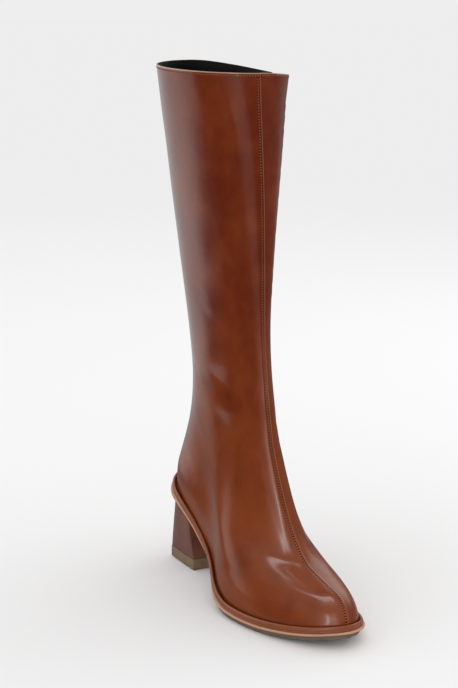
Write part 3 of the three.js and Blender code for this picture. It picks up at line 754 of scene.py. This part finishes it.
leather = upper_skin("leather_upper", LEATHER_ROWS, LEATHER_COLUMNS, FLARE, 0, LEATHER_THICK,
                     LEATHER)
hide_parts("upper")
lining = upper_skin("lining", LINING_ROWS, LINING_COLUMNS, LINING_FLARE, LINING_DEPTH,
                    LINING_THICK, LINING)
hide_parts("upper")

# %% [markdown]
# ## Seams
# A machine stitch is a short length of thread between two needle holes. Each is a small sphere
# stretched along the seam, and the shade in each hole is painted on a dark bead between them. The
# front seam is pulled tight, so its painted hole shades are wide. A seam's thread is one mesh and
# its painted hole shades are another.

# %% Frames on the surface, and rows of stitches
STITCH_PITCH = 2.15
THREAD_BEAD = {"long": 0.60 * STITCH_PITCH, "wide": 1.0, "tall": 0.55, "sunk": -0.04}
# Sizes of the dark beads between the stitches, which are painted shade of the needle holes.
HOLE_SHADE_BEAD = {"long": 0.46 * STITCH_PITCH, "tall": 0.5, "sunk": -0.05, "shift": STITCH_PITCH / 2}
HOLE_SHADE_WIDE = 2.0
HOLE_SHADE_NARROW = 0.9
# A bmesh slows down as it grows, so beads are made in batches.
BATCH = 40
# How far up and down the loops the upward direction is measured.
PROBE = 0.06


def surface_frame(t, side, distance):
    """A point of the leather and its outward direction."""
    here = point_at(t, side, distance)
    ahead = point_at(t, side, distance + 1) - point_at(t, side, distance - 1)
    span = side_length(t, side)
    share = distance / span
    above, below = min(TOP, t + PROBE), max(0, t - PROBE)
    up = (point_at(above, side, share * side_length(above, side))
          - point_at(below, side, share * side_length(below, side)))
    out = np.cross(ahead, up) * -side
    u = (distance - span) if side == OUTER else (span - distance)
    lift = float(lift_at(here[None, None], np.array([[t]]), np.array([[u]]))[0, 0])
    out = Vector(out).normalized()
    return Vector(here) + out * lift * MM, out


def even_path(spots, pitch):
    """Points a pitch apart on the path through the spots, with direction and normal."""
    line, outs = (np.array([list(spot[k]) for spot in spots]) for k in (0, 1))
    along = run_along(line)
    nudge = 0.3

    def sample(values, where):
        return Vector([np.interp(where, along, values[:, k]) for k in range(3)])

    return [(sample(line, s), (sample(line, s + nudge) - sample(line, s - nudge)).normalized(),
             sample(outs, s).normalized())
            for s in (np.arange(int(along[-1] / pitch)) + 0.5) * pitch]


def joined(parts):
    """Several bmeshes as one."""
    whole = bmesh.new()
    for part in parts:
        mesh = bpy.data.meshes.new("part")
        part.to_mesh(mesh)
        part.free()
        whole.from_mesh(mesh)
        bpy.data.meshes.remove(mesh)
    return whole


def beads(path, long, wide, tall, sunk, shift=0.0):
    """Small stretched spheres on a path; sizes in millimetres."""
    batches = []
    for first in range(0, len(path), BATCH):
        bm = bmesh.new()
        for centre, forward, out in path[first:first + BATCH]:
            across = out.cross(forward).normalized()
            out = forward.cross(across)
            turn = Matrix((forward * long / 2, across * wide / 2, out * tall / 2)).transposed() * MM
            spot = centre - out * sunk * MM + forward * shift * MM
            bmesh.ops.create_uvsphere(bm, u_segments=6, v_segments=4, radius=1,
                                      matrix=Matrix.Translation(spot) @ turn.to_4x4())
        batches.append(bm)
    return joined(batches)


def seam(name, rows, shade_wide):
    """Thread of several rows of stitches, and dark beads painted as the shade in their needle holes, as
    two joined meshes.
    """
    paths = [even_path(spots, STITCH_PITCH) for spots in rows]
    thread = [beads(path, **THREAD_BEAD) for path in paths]
    hole_shades = [beads(path, wide=shade_wide, **HOLE_SHADE_BEAD) for path in paths]
    new_object(name + "_thread", joined(thread), THREAD)
    new_object(name + "_hole_shade", joined(hole_shades), PAINTED_HOLE_SHADE)


# %% Front seam
FRONT_SEAM_FOOT = 0.25
SEAM_TOP = TOP - 0.1
front_rows = [[surface_frame(t, OUTER, side_length(t, OUTER) - SEAM_INSET)
               for t in np.linspace(FRONT_SEAM_FOOT, SEAM_TOP, 300)]]
seam("front_seam", front_rows, HOLE_SHADE_WIDE)

# %% Collar stitching, which stops short of the zip on both sides
COLLAR_INSET = 2.0
ROW_HEIGHT = 34.3
COLLAR_STOP = 13
COLLAR_END = 0.5
collar_t = TOP - COLLAR_INSET / ROW_HEIGHT
collar_zip = zip_distance(collar_t)
collar_spans = (
    (OUTER, COLLAR_END, side_length(collar_t, OUTER) - COLLAR_END, 150),
    (INNER, collar_zip + COLLAR_STOP, side_length(collar_t, INNER) - 2 * COLLAR_END, 90),
    (INNER, COLLAR_END, collar_zip - COLLAR_STOP, 60),
)
collar_rows = [[surface_frame(collar_t, side, d) for d in np.linspace(start, end, spots)]
               for side, start, end, spots in collar_spans]
seam("collar_seam", collar_rows, HOLE_SHADE_NARROW)

# %% Two rows of stitches on either side of the zip, parting where the slot flares
ZIP_ROWS = (SLOT_HALF + 1.8, SLOT_HALF + 4.7)
ZIP_SEAM_FOOT = 0.45
PARTING = 0.28


def beside_zip(t, ahead):
    return zip_distance(t) + ahead * (1 + PARTING * float(smoothstep(FLARE_START, TOP, t)))


zip_seams = [[surface_frame(t, INNER, beside_zip(t, ahead))
              for t in np.linspace(ZIP_SEAM_FOOT, SEAM_TOP, 260)]
             for ahead in (-ZIP_ROWS[1], -ZIP_ROWS[0], *ZIP_ROWS)]
seam("zip_seam", zip_seams, HOLE_SHADE_NARROW)

# %% [markdown]
# ## The zip
# A coil zip is a fine spring sewn to each tape, and the two springs mesh in the middle. Up close
# it reads as short ribs from both sides, so each rib is a bead across the chain, over a thin
# backing, with a smooth cord along either edge.

# %% Coil and backing
CHAIN_HALF = 3.0
BACKING_TOP = 1.3
SLIDER_AT = TOP - 0.38
COIL_PITCH = 1.35
COIL_AT = 1.25
CORD_AT = 2.65
CORD_PITCH = 1.5 * COIL_PITCH
RIB = {"long": 3.0, "wide": 0.95, "tall": 1.0, "sunk": 0.95}
CORD = {"long": 1.9 * COIL_PITCH, "wide": 0.8, "tall": 0.9, "sunk": 1.05}


def zip_frame(t, ahead):
    """A point so far ahead of the zip's middle line, and its outward direction."""
    def spot(at, further=0):
        return point_at(at, INNER, zip_distance(at) + ahead + further)

    up = spot(t + 0.1) - spot(t - 0.1)
    forward = spot(t, 2) - spot(t, -2)
    return Vector(spot(t)), Vector(np.cross(up, forward)).normalized()


def zip_ribbon(edges, top, bottom, start, end, steps):
    """A closed flat ribbon along the zip between two depths, in millimetres."""
    rows = []
    for t in np.linspace(start, end, steps + 1):
        frames = [zip_frame(t, ahead) for ahead in edges]
        over = [here - out * top * MM for here, out in frames]
        under = [here - out * bottom * MM for here, out in frames]
        rows.append([list(p) for p in under + over[::-1] + under[:1]])
    return closed_solid(rows)


def zip_line(ahead, start, end):
    return [zip_frame(t, ahead) for t in np.linspace(start, end, 240)]


coil_start, coil_end = SLOT_FOOT + 0.12, SLIDER_AT + 0.02
coil_parts = [zip_ribbon((-CHAIN_HALF, 0, CHAIN_HALF), BACKING_TOP, WALL, coil_start, coil_end, 90)]
for side, shift in ((-1, 0), (1, COIL_PITCH / 2)):
    path = even_path(zip_line(side * COIL_AT, coil_start, coil_end), COIL_PITCH)
    # The ribs lie across the zip, and one side's stand between the other's.
    ribs = [(centre + forward * shift * MM, out.cross(forward), out)
            for centre, forward, out in path]
    coil_parts.append(beads(ribs, **RIB))
    cord = even_path(zip_line(side * CORD_AT, coil_start, coil_end), CORD_PITCH)
    coil_parts.append(beads(cord, **CORD))

COIL = two_tone("brown_coil", (0.150, 0.056, 0.030), (0.25, 0.105, 0.060), (300, 2), (2400, 2),
                0.00006, 0.42, Specular_IOR_Level=0.45)
coil = new_object("zip_coil", joined(coil_parts), COIL)
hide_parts("zip_chain")

# %% Woven tape on the CAD's own mesh
WEAVE = 5200
tape_finish = Finish("woven_tape", 0.85)
_, across_tape, along_tape = tape_finish.axes()
warp = tape_finish.wave(across_tape, WEAVE)
weft = tape_finish.wave(along_tape, WEAVE)
weave = warp * weft + (1 - warp) * (1 - weft)
tape_finish.colour(weave, (0.060, 0.024, 0.013), (0.13, 0.055, 0.03))
tape_finish.bump(weave, 0.00012, 0.7)


def dress(node, material):
    """Puts a finish on a CAD node that keeps its own mesh."""
    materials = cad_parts[node].data.materials
    materials.clear()
    materials.append(material)


dress("zip_tape", tape_finish.material)

# %% [markdown]
# ## Slider and pull
# The metal parts keep their CAD shape. Cast metal never has a knife edge, so each is copied, its
# loose triangles are welded, and a small Bevel catches the light. The copies stand for the CAD
# nodes and ride on the same bodies.

# %% Metal finishes and the bevelled copies
def metal_finish(name, colour, second, roughness):
    made = Finish(name, roughness, Metallic=1.0)
    made.colour(made.noise(420, 3), colour, second)
    made.rough(roughness + 0.18 * (made.noise(900, 2) - 0.4))
    made.bump(made.noise(1600, 2), 0.00003, 0.4)
    return made.material


NICKEL = metal_finish("nickel", (0.60, 0.58, 0.54), (0.78, 0.76, 0.71), 0.22)
GUNMETAL = metal_finish("gunmetal", (0.16, 0.155, 0.155), (0.28, 0.27, 0.27), 0.3)


def bevelled_copy(name, node, body, material, width):
    bm = bmesh.new()
    bm.from_mesh(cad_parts[node].data)
    bmesh.ops.remove_doubles(bm, verts=bm.verts, dist=2e-6)
    bmesh.ops.dissolve_limit(bm, angle_limit=math.radians(2), verts=bm.verts, edges=bm.edges)
    obj = new_object(name, bm, material, body)
    rounded(obj, width, segments=2, sharp=35)
    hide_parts(node)


bevelled_copy("slider_cast", "zip_slider", "boot", NICKEL, 0.22)
bevelled_copy("pull_tab", "zip_pull", "zip_pull", GUNMETAL, 0.25)

# %% [markdown]
# ## Welt and sole
# The welt is a leather strip sewn round the foot: a rounded lip that stands off the upper, and
# a flat outer face with a fine groove. Under it lie the pale midsole edge and the darker rubber.
# Each is its profile carried round or along the foot's outline.

# %% The welt's ring
WELT_GAP = 0.35
# Reach from the upper as a share of the welt's width, and height over the midsole.
WELT_PROFILE = [(0.0, 0.0), (0.90, 0.0), (0.985, 0.15), (1.0, 0.5), (1.0, 1.15), (0.90, 1.4),
                (0.90, 1.6), (1.0, 1.85), (1.0, 2.6), (0.96, 3.5), (0.84, 4.25), (0.66, 4.65),
                (0.48, 4.6), (0.32, 4.0), (0.22, 3.0), (0.12, 2.3), (0.0, 2.3)]
WELT_COLUMNS = (110, 60, 30)

foot_loops = np.array([ring_points(t, *ring_distances(t, *WELT_COLUMNS, 0))
                       for t in (0.0, 0.5, 1.0)])
foot_out = ring_normals(foot_loops)[0]
foot_out[:, 2] = 0
foot_out /= np.linalg.norm(foot_out, axis=1, keepdims=True)
foot = foot_loops[0]
welt_rows = []
for reach, height in WELT_PROFILE + WELT_PROFILE[:1]:
    out = WELT_GAP + (WELT_REACH - WELT_GAP) * reach
    spots = foot + foot_out * out * MM
    level = sole_line(np.clip((BACK_Y - spots[:, 1]) / MM, 0, LENGTH)) + EDGE
    spots[:, 2] = (level + height) * MM
    welt_rows.append(spots)
welt_points = np.array(welt_rows)
welt_points[:, -1] = welt_points[:, 0]
welt_bm = bent_grid(welt_points)
bmesh.ops.recalc_face_normals(welt_bm, faces=welt_bm.faces)

WELT = two_tone("welt_leather", (0.185, 0.040, 0.011), (0.31, 0.080, 0.026), (60, 3), (700, 3),
                0.00012, 0.35, 0.14, Coat_Weight=0.25, Coat_Roughness=0.2)
welt = new_object("welt_strip", welt_bm, WELT)
welt_round = welt.modifiers.new("round", "SUBSURF")
welt_round.levels = welt_round.render_levels = 1
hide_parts("welt")

# %% Plates of the sole, from their outline
PLATE_STEPS = 170
PLATE_EDGE = 6
# Width at which the bulge starts to die away towards a pointed end.
PLATE_POINT = 4


def plate(first, last, inset, under, over, bulge):
    """A closed plate cut to the welt's outline less an inset, its edge bulged a little."""
    share = np.arange(PLATE_STEPS + 1) / PLATE_STEPS
    y = first + (last - first) * (1 - np.cos(np.pi * share)) / 2
    spot = (y - inset) * LENGTH / (LENGTH - 2 * inset)
    half = {side: np.clip(outline_width(spot, side) - inset, 0, None) for side in (OUTER, INNER)}
    scale = np.clip((half[OUTER] + half[INNER]) / PLATE_POINT, 0, 1)
    bend, low, high = bend_at(y), under(y), over(y)
    rows = []
    turns = np.linspace(0, np.pi, PLATE_EDGE)
    for side, order in ((INNER, turns), (OUTER, turns[::-1])):
        for angle in order:
            pull = bulge * (1 - np.sin(angle)) * scale
            x = bend + side * np.clip(half[side] - pull, 0, None)
            rise = (1 - np.cos(angle)) / 2
            rows.append(place(y, x, low + (high - low) * rise))
    return closed_solid(rows + rows[:1])


def midsole_over(y):
    return sole_line(y) + MIDSOLE


SOLE_EDGE = two_tone("sole_edge", (0.50, 0.235, 0.135), (0.66, 0.36, 0.22),
                     (180, 3, 0.5, (1, 1, 3)), (900, 3), 0.0001, 0.5)
MIDSOLE_BULGE = 0.35
midsole_bm = plate(0, LENGTH, 0, sole_line, midsole_over, MIDSOLE_BULGE)
midsole = new_object("midsole_edge", midsole_bm, SOLE_EDGE)
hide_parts("midsole")

# %% The outsole, which thins out into the waist
OUTSOLE_START = 72
OUTSOLE_INSET = 2.6
OUTSOLE_BULGE = 0.4
TREAD = 2100
# Glued pieces keep this little apart, in millimetres.
GLUE = 0.05
outsole_thick = smooth_curve([(OUTSOLE_START, 1.0), (105, 2.0), (140, 4.4), (210, 4.3),
                              (LENGTH, 3.7)])


def outsole_over(y):
    return sole_line(y) - GLUE


def outsole_under(y):
    return np.clip(outsole_over(y) - outsole_thick(y), 0, None)


outsole_finish = Finish("tread_rubber", 0.75)
rub = outsole_finish.noise(90, 3)
_, tread_y, _ = outsole_finish.axes()
ribs = outsole_finish.wave(tread_y, TREAD)
outsole_finish.colour(rub, (0.125, 0.090, 0.066), (0.19, 0.142, 0.105))
outsole_finish.rough(0.66 + 0.2 * rub)
outsole_finish.bump(ribs * 0.7 + outsole_finish.noise(800, 2) * 0.3, 0.0003, 0.6)
outsole_bm = plate(OUTSOLE_START, LENGTH - OUTSOLE_INSET, OUTSOLE_INSET, outsole_under,
                   outsole_over, OUTSOLE_BULGE)
outsole = new_object("outsole_rubber", outsole_bm, outsole_finish.material)
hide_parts("outsole")

# %% The insole keeps its CAD mesh, under a cloth sock
dress("insole", two_tone("sock_lining", (0.016, 0.014, 0.013), (0.028, 0.024, 0.022),
                         (58.33, 3), (700, 3), 0.0001, 0.6, 0.12, 0.6))

# %% [markdown]
# ## The heel
# The flared block is a hard core wrapped in leather, with the wrap's joint down the middle of the
# breast, on a rubber top piece. Its outline goes from a round seat to a squarer foot, level by
# level.

# %% Outline of the heel at a level
HEEL_TOP = {"back": 5.6, "front": 47.0, "half": 27.6, "corner": 27.0}
HEEL_FOOT = {"back": 6.6, "front": 52.5, "half": 24.8, "corner": 9.0}
# Power that squares the back corners at the foot, where 1 is round.
HEEL_CORNER = 0.42
# Power of the sweep from the seat to the foot.
HEEL_FLARE = 1.35
HEEL_DRAFT = {"waist": 0.5, "breast": 1.6, "seat_waist": 0.3, "seat_breast": 0.4}
TOP_PIECE = 9.7
HEEL_STEPS = 22
BREAST_STEPS = 6


def heel_outline(share, grow=0.0):
    """Half of the outline from the centre back: forward distances and half widths."""
    size = {key: HEEL_TOP[key] + (HEEL_FOOT[key] - HEEL_TOP[key]) * share for key in HEEL_TOP}
    back, front, half = size["back"] - grow, size["front"] + grow, size["half"] + grow
    angle = np.linspace(0, np.pi / 2, HEEL_STEPS + 1)
    power = 1 + (HEEL_CORNER - 1) * share
    y = back + size["corner"] * (1 - np.clip(np.cos(angle), 0, 1) ** power)
    x = half * np.sin(angle) ** power
    seat = 1 - share
    waist = (y[-1] + front) / 2
    waist_half = half - HEEL_DRAFT["waist"] - HEEL_DRAFT["seat_waist"] * seat
    breast_half = half - HEEL_DRAFT["breast"] - HEEL_DRAFT["seat_breast"] * seat
    across = breast_half * np.linspace(1, 0, BREAST_STEPS + 1)[1:]
    y = np.concatenate([y, [waist, front], np.full(BREAST_STEPS, front)])
    x = np.concatenate([x, [waist_half, breast_half], across])
    return y, x


def heel_ring(share, level, grow=0.0):
    """The whole outline as points, at heights that a function of the forward distance gives."""
    y, x = heel_outline(share, grow)
    whole_y, whole_x = np.concatenate([y, y[-2::-1]]), np.concatenate([-x, x[-2::-1]])
    return place(whole_y, whole_x, level(whole_y))


# %% The block, swept up from its foot to the slope of the sole
HEEL_LEVELS = 26
LIFT_GAP = 0.1
HEEL_BEVEL = 0.9


def heel_row(up):
    """The ring at a share of the way up: level at the foot, and sloped as the sole at the top."""
    def level(y):
        return (TOP_PIECE + LIFT_GAP) * (1 - up) + (sole_line(np.clip(y, 0, None)) - GLUE) * up

    return heel_ring((1 - up) ** HEEL_FLARE, level)


heel_rows = [heel_row(j / HEEL_LEVELS) for j in range(HEEL_LEVELS + 1)]

heel_finish = Finish("heel_leather", Coat_Weight=0.3, Coat_Roughness=0.18)
heel_clouds = heel_finish.noise(45, 3)
# The heel's own brown, made lighter and greyer as a painted sheen on its sides.
heel_dye_and_sheen = heel_finish.mix(heel_finish.ramp(heel_clouds, 0.3, 0.7), (0.135, 0.040, 0.024),
                           (0.200, 0.068, 0.043))
heel_x, heel_y, _ = heel_finish.axes()
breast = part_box("heel")[0].y
on_breast = heel_y < breast + 4 * MM
joint_line = on_breast * (abs(heel_x - CENTRE_X) < 0.22 * MM)
heel_finish.colour(joint_line * 0.85, heel_dye_and_sheen, (0.02, 0.006, 0.004))
heel_finish.rough(0.26 + 0.12 * heel_clouds)
wrap = heel_finish.ramp(abs(heel_x - CENTRE_X), 0.0, 0.8 * MM) * on_breast + (1 - on_breast)
heel_finish.bump(heel_finish.noise(420, 3) * 0.25 + wrap * 0.75, 0.0002, 0.5)
heel = new_object("heel_wrap", closed_solid(heel_rows), heel_finish.material)
rounded(heel, HEEL_BEVEL)
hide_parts("heel")

# %% The rubber top piece: height and reach past the heel's foot, level by level
LIFT_PROFILE = ((0.0, 0.1), (0.8, 0.5), (TOP_PIECE / 2, 0.42), (TOP_PIECE, 0.3))
LIFT_BEVEL = 0.5
RUBBER = two_tone("lift_rubber", (0.175, 0.108, 0.062), (0.27, 0.175, 0.105), (140, 3), (900, 3),
                  0.0002, 0.7)
lift_rows = [heel_ring(1, lambda y: np.full_like(y, z), grow) for z, grow in LIFT_PROFILE]
lift_block = new_object("top_lift", closed_solid(lift_rows), RUBBER)
rounded(lift_block, LIFT_BEVEL)
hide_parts("heel_top_piece")

# %% [markdown]
# ## Studio
# The boot stands on seamless pale paper in an even light. Gloss shows its surroundings, so the
# world has two faces: a plain bright one that lights the paper and the dye, and for the shine a
# room with windows, bright behind the boot and dim elsewhere. A Light Path node tells them apart.
# Two soft boxes give highlights alone, and a third gives soft light alone.

# %% Levels of the paper and the room
PAPER = 0.93
# Painted light: the paper darkens from PAPER by the boot to PAPER_FAR far off.
PAPER_FAR = 0.86
AMBIENT = 0.985
BACKDROP = 0.855
ROOM = 0.03
BEHIND = 0.92
STRAIGHT_BEHIND_LESS = 0.22
RIGHT_LESS = 0.8
WIDENING = 0.4
FRONT_RIGHT = 0.12
FRONT_LEFT = 0.24
OVERHEAD = 0.35
RIGHT_WINDOW = 0.9
LEFT_WINDOW = 1.3
# Levels of the painted light and shadow on the paper as the shine sees it: close by, and towards the
# boot's foot.
NEAR_SHINE = 0.34
FOOT_SHINE = 0.15


class Surroundings(Finish):
    """The world's node tree, with the same helpers as a finish."""

    def __init__(self, world):
        world.use_nodes = True
        self.tree = world.node_tree
        self.shader = self.tree.nodes["Background"]


def shine_of(finish, x, y, reach):
    """How bright the room looks in the gloss, by the way it lies: X and Y are shares of 1.

    The bright part behind the boot is wider far away, where reach is 1, than close by."""
    behind = finish.ramp(y + reach * WIDENING, 0.78, 0.94)
    to_right = finish.ramp(x, 0.1, 0.6)
    bright = (BEHIND * (1 - STRAIGHT_BEHIND_LESS * finish.ramp(y, 0.8, 1.0))
              * (1 - RIGHT_LESS * to_right))
    to_left = finish.ramp(-1 * x, 0.45, 0.75) * finish.ramp(-1 * y, 0.12, 0.45)
    return (ROOM + bright * behind + FRONT_RIGHT * to_right * (1 - behind)
            + FRONT_LEFT * to_left * (1 + reach))


# %% The world, seen one way by the shine and another by all else
world = bpy.data.worlds.new("studio")
# The world isn't sampled as a lamp, because the shine would then pick up the plain face's light.
world.cycles.sampling_method = "NONE"
bpy.context.scene.world = world
sky = Surroundings(world)
sky_x, sky_y, sky_z = sky.split(sky.node("ShaderNodeTexCoord").outputs["Generated"])
is_glossy = sky.ray_is("Glossy")
is_camera = sky.ray_is("Camera")
from_right = sky.ramp(sky_x, 0.2, 0.7) * sky.ramp(sky_z, 0.15, 0.45) * sky.ramp(sky_y, -0.1, 0.3)
from_left = (sky.ramp(-1 * sky_x, 0.40, 0.65) * sky.ramp(-1 * sky_y, 0.40, 0.65)
             * (1 - sky.ramp(sky_z, 0.28, 0.42)))
gloss = (shine_of(sky, sky_x, sky_y, 1.0) + sky.ramp(sky_z, 0.25, 0.85) * OVERHEAD
         + from_right * RIGHT_WINDOW + from_left * LEFT_WINDOW)
level = is_glossy * gloss + (1 - is_glossy) * (is_camera * BACKDROP + (1 - is_camera) * AMBIENT)
sky.put(sky.shader.inputs["Strength"], level)
sky.shader.inputs["Color"].default_value = (1.0, 1.0, 1.0, 1)

# %% The paper, with the room's light and a shadow by the boot painted into its colour for the shine
paper = Finish("paper", 1.0, Specular_IOR_Level=0.0)
px, py, _ = paper.axes()
away = (px * px + py * py) ** 0.5
near = 1 - paper.ramp(away, 0.16, 0.45)
far = paper.ramp(away, 0.30, 0.95)
shine = shine_of(paper, px / away, py / away, paper.ramp(away, 1.15, 1.45))
# Painted shadow close to the boot and painted reflection of the room further out, seen only by the
# shine.
painted_shine_on_paper = near * NEAR_SHINE + (1 - near) * shine * (FOOT_SHINE + (1 - FOOT_SHINE) * far)
# Painted light: the paper is lighter near the boot and darker far off.
painted_paper_falloff = PAPER - (PAPER - PAPER_FAR) * paper.ramp(away, 0.4, 3.0)
paper_level = painted_paper_falloff * (1 - paper.ray_is("Glossy") * (1 - painted_shine_on_paper))
grey = paper.node("ShaderNodeCombineColor", None, paper_level, paper_level, paper_level)
paper.put(paper.shader.inputs["Base Color"], grey.outputs[0])
floor_bm = bmesh.new()
bmesh.ops.create_grid(floor_bm, x_segments=1, y_segments=1, size=60)
floor = loose_object("paper", floor_bm, paper.material)
floor.location.z = -0.2 * MM

# %% Soft boxes
AIM = Vector((0, 0, 0.1))


def soft_box(name, start, end, width, power):
    """A long soft box between two points, which faces the boot."""
    start, end = Vector(start), Vector(end)
    light = bpy.data.lights.new(name, "AREA")
    light.shape = "RECTANGLE"
    light.size, light.size_y = width, (end - start).length
    light.energy = power
    centre = (start + end) / 2
    long_way = (end - start).normalized()
    facing = centre - AIM
    facing = (facing - long_way * facing.dot(long_way)).normalized()
    obj = bpy.data.objects.new(name, light)
    turn = Matrix((long_way.cross(facing), long_way, facing)).transposed()
    obj.matrix_world = Matrix.Translation(centre) @ turn.to_4x4()
    obj.visible_camera = False
    bpy.context.scene.collection.objects.link(obj)
    return obj


overhead = soft_box("overhead", (-0.46, 0.02, 1.30), (-0.24, -0.10, 1.37), 0.26, 1.0)
window = soft_box("window", (-1.06, -0.99, 0.40), (-0.86, -0.72, 1.10), 0.075, 1.9)
for shine_only in (overhead, window):
    shine_only.visible_diffuse = False
side = soft_box("side", (1.2, -0.3, 0.7), (1.2, 0.9, 0.7), 0.6, 1.2)
side.visible_glossy = False

# %% [markdown]
# ## Camera
# It stands a little to the outer side of the toe, above the collar's height, and looks down at
# the boot through a long lens.

# %% The camera
CAMERA_FROM_MIDDLE = Vector((-0.5289, -1.0351, 0.2579))
CAMERA_AZIMUTH, CAMERA_PITCH, CAMERA_ROLL = (math.radians(x) for x in (26.0218, 12.69, -0.37))
camera_data = bpy.data.cameras.new("camera")
camera_data.lens = 78.2
camera_data.sensor_width = 36
camera_data.clip_end = 100
camera = bpy.data.objects.new("camera", camera_data)
camera.matrix_world = (Matrix.Translation((CAD_BOX[0] + CAD_BOX[1]) / 2 + CAMERA_FROM_MIDDLE)
                       @ Matrix.Rotation(-CAMERA_AZIMUTH, 4, "Z")
                       @ Matrix.Rotation(math.pi / 2 - CAMERA_PITCH, 4, "X")
                       @ Matrix.Rotation(CAMERA_ROLL, 4, "Z"))
bpy.context.scene.collection.objects.link(camera)
bpy.context.scene.camera = camera
bpy.context.scene.view_settings.view_transform = "Standard"
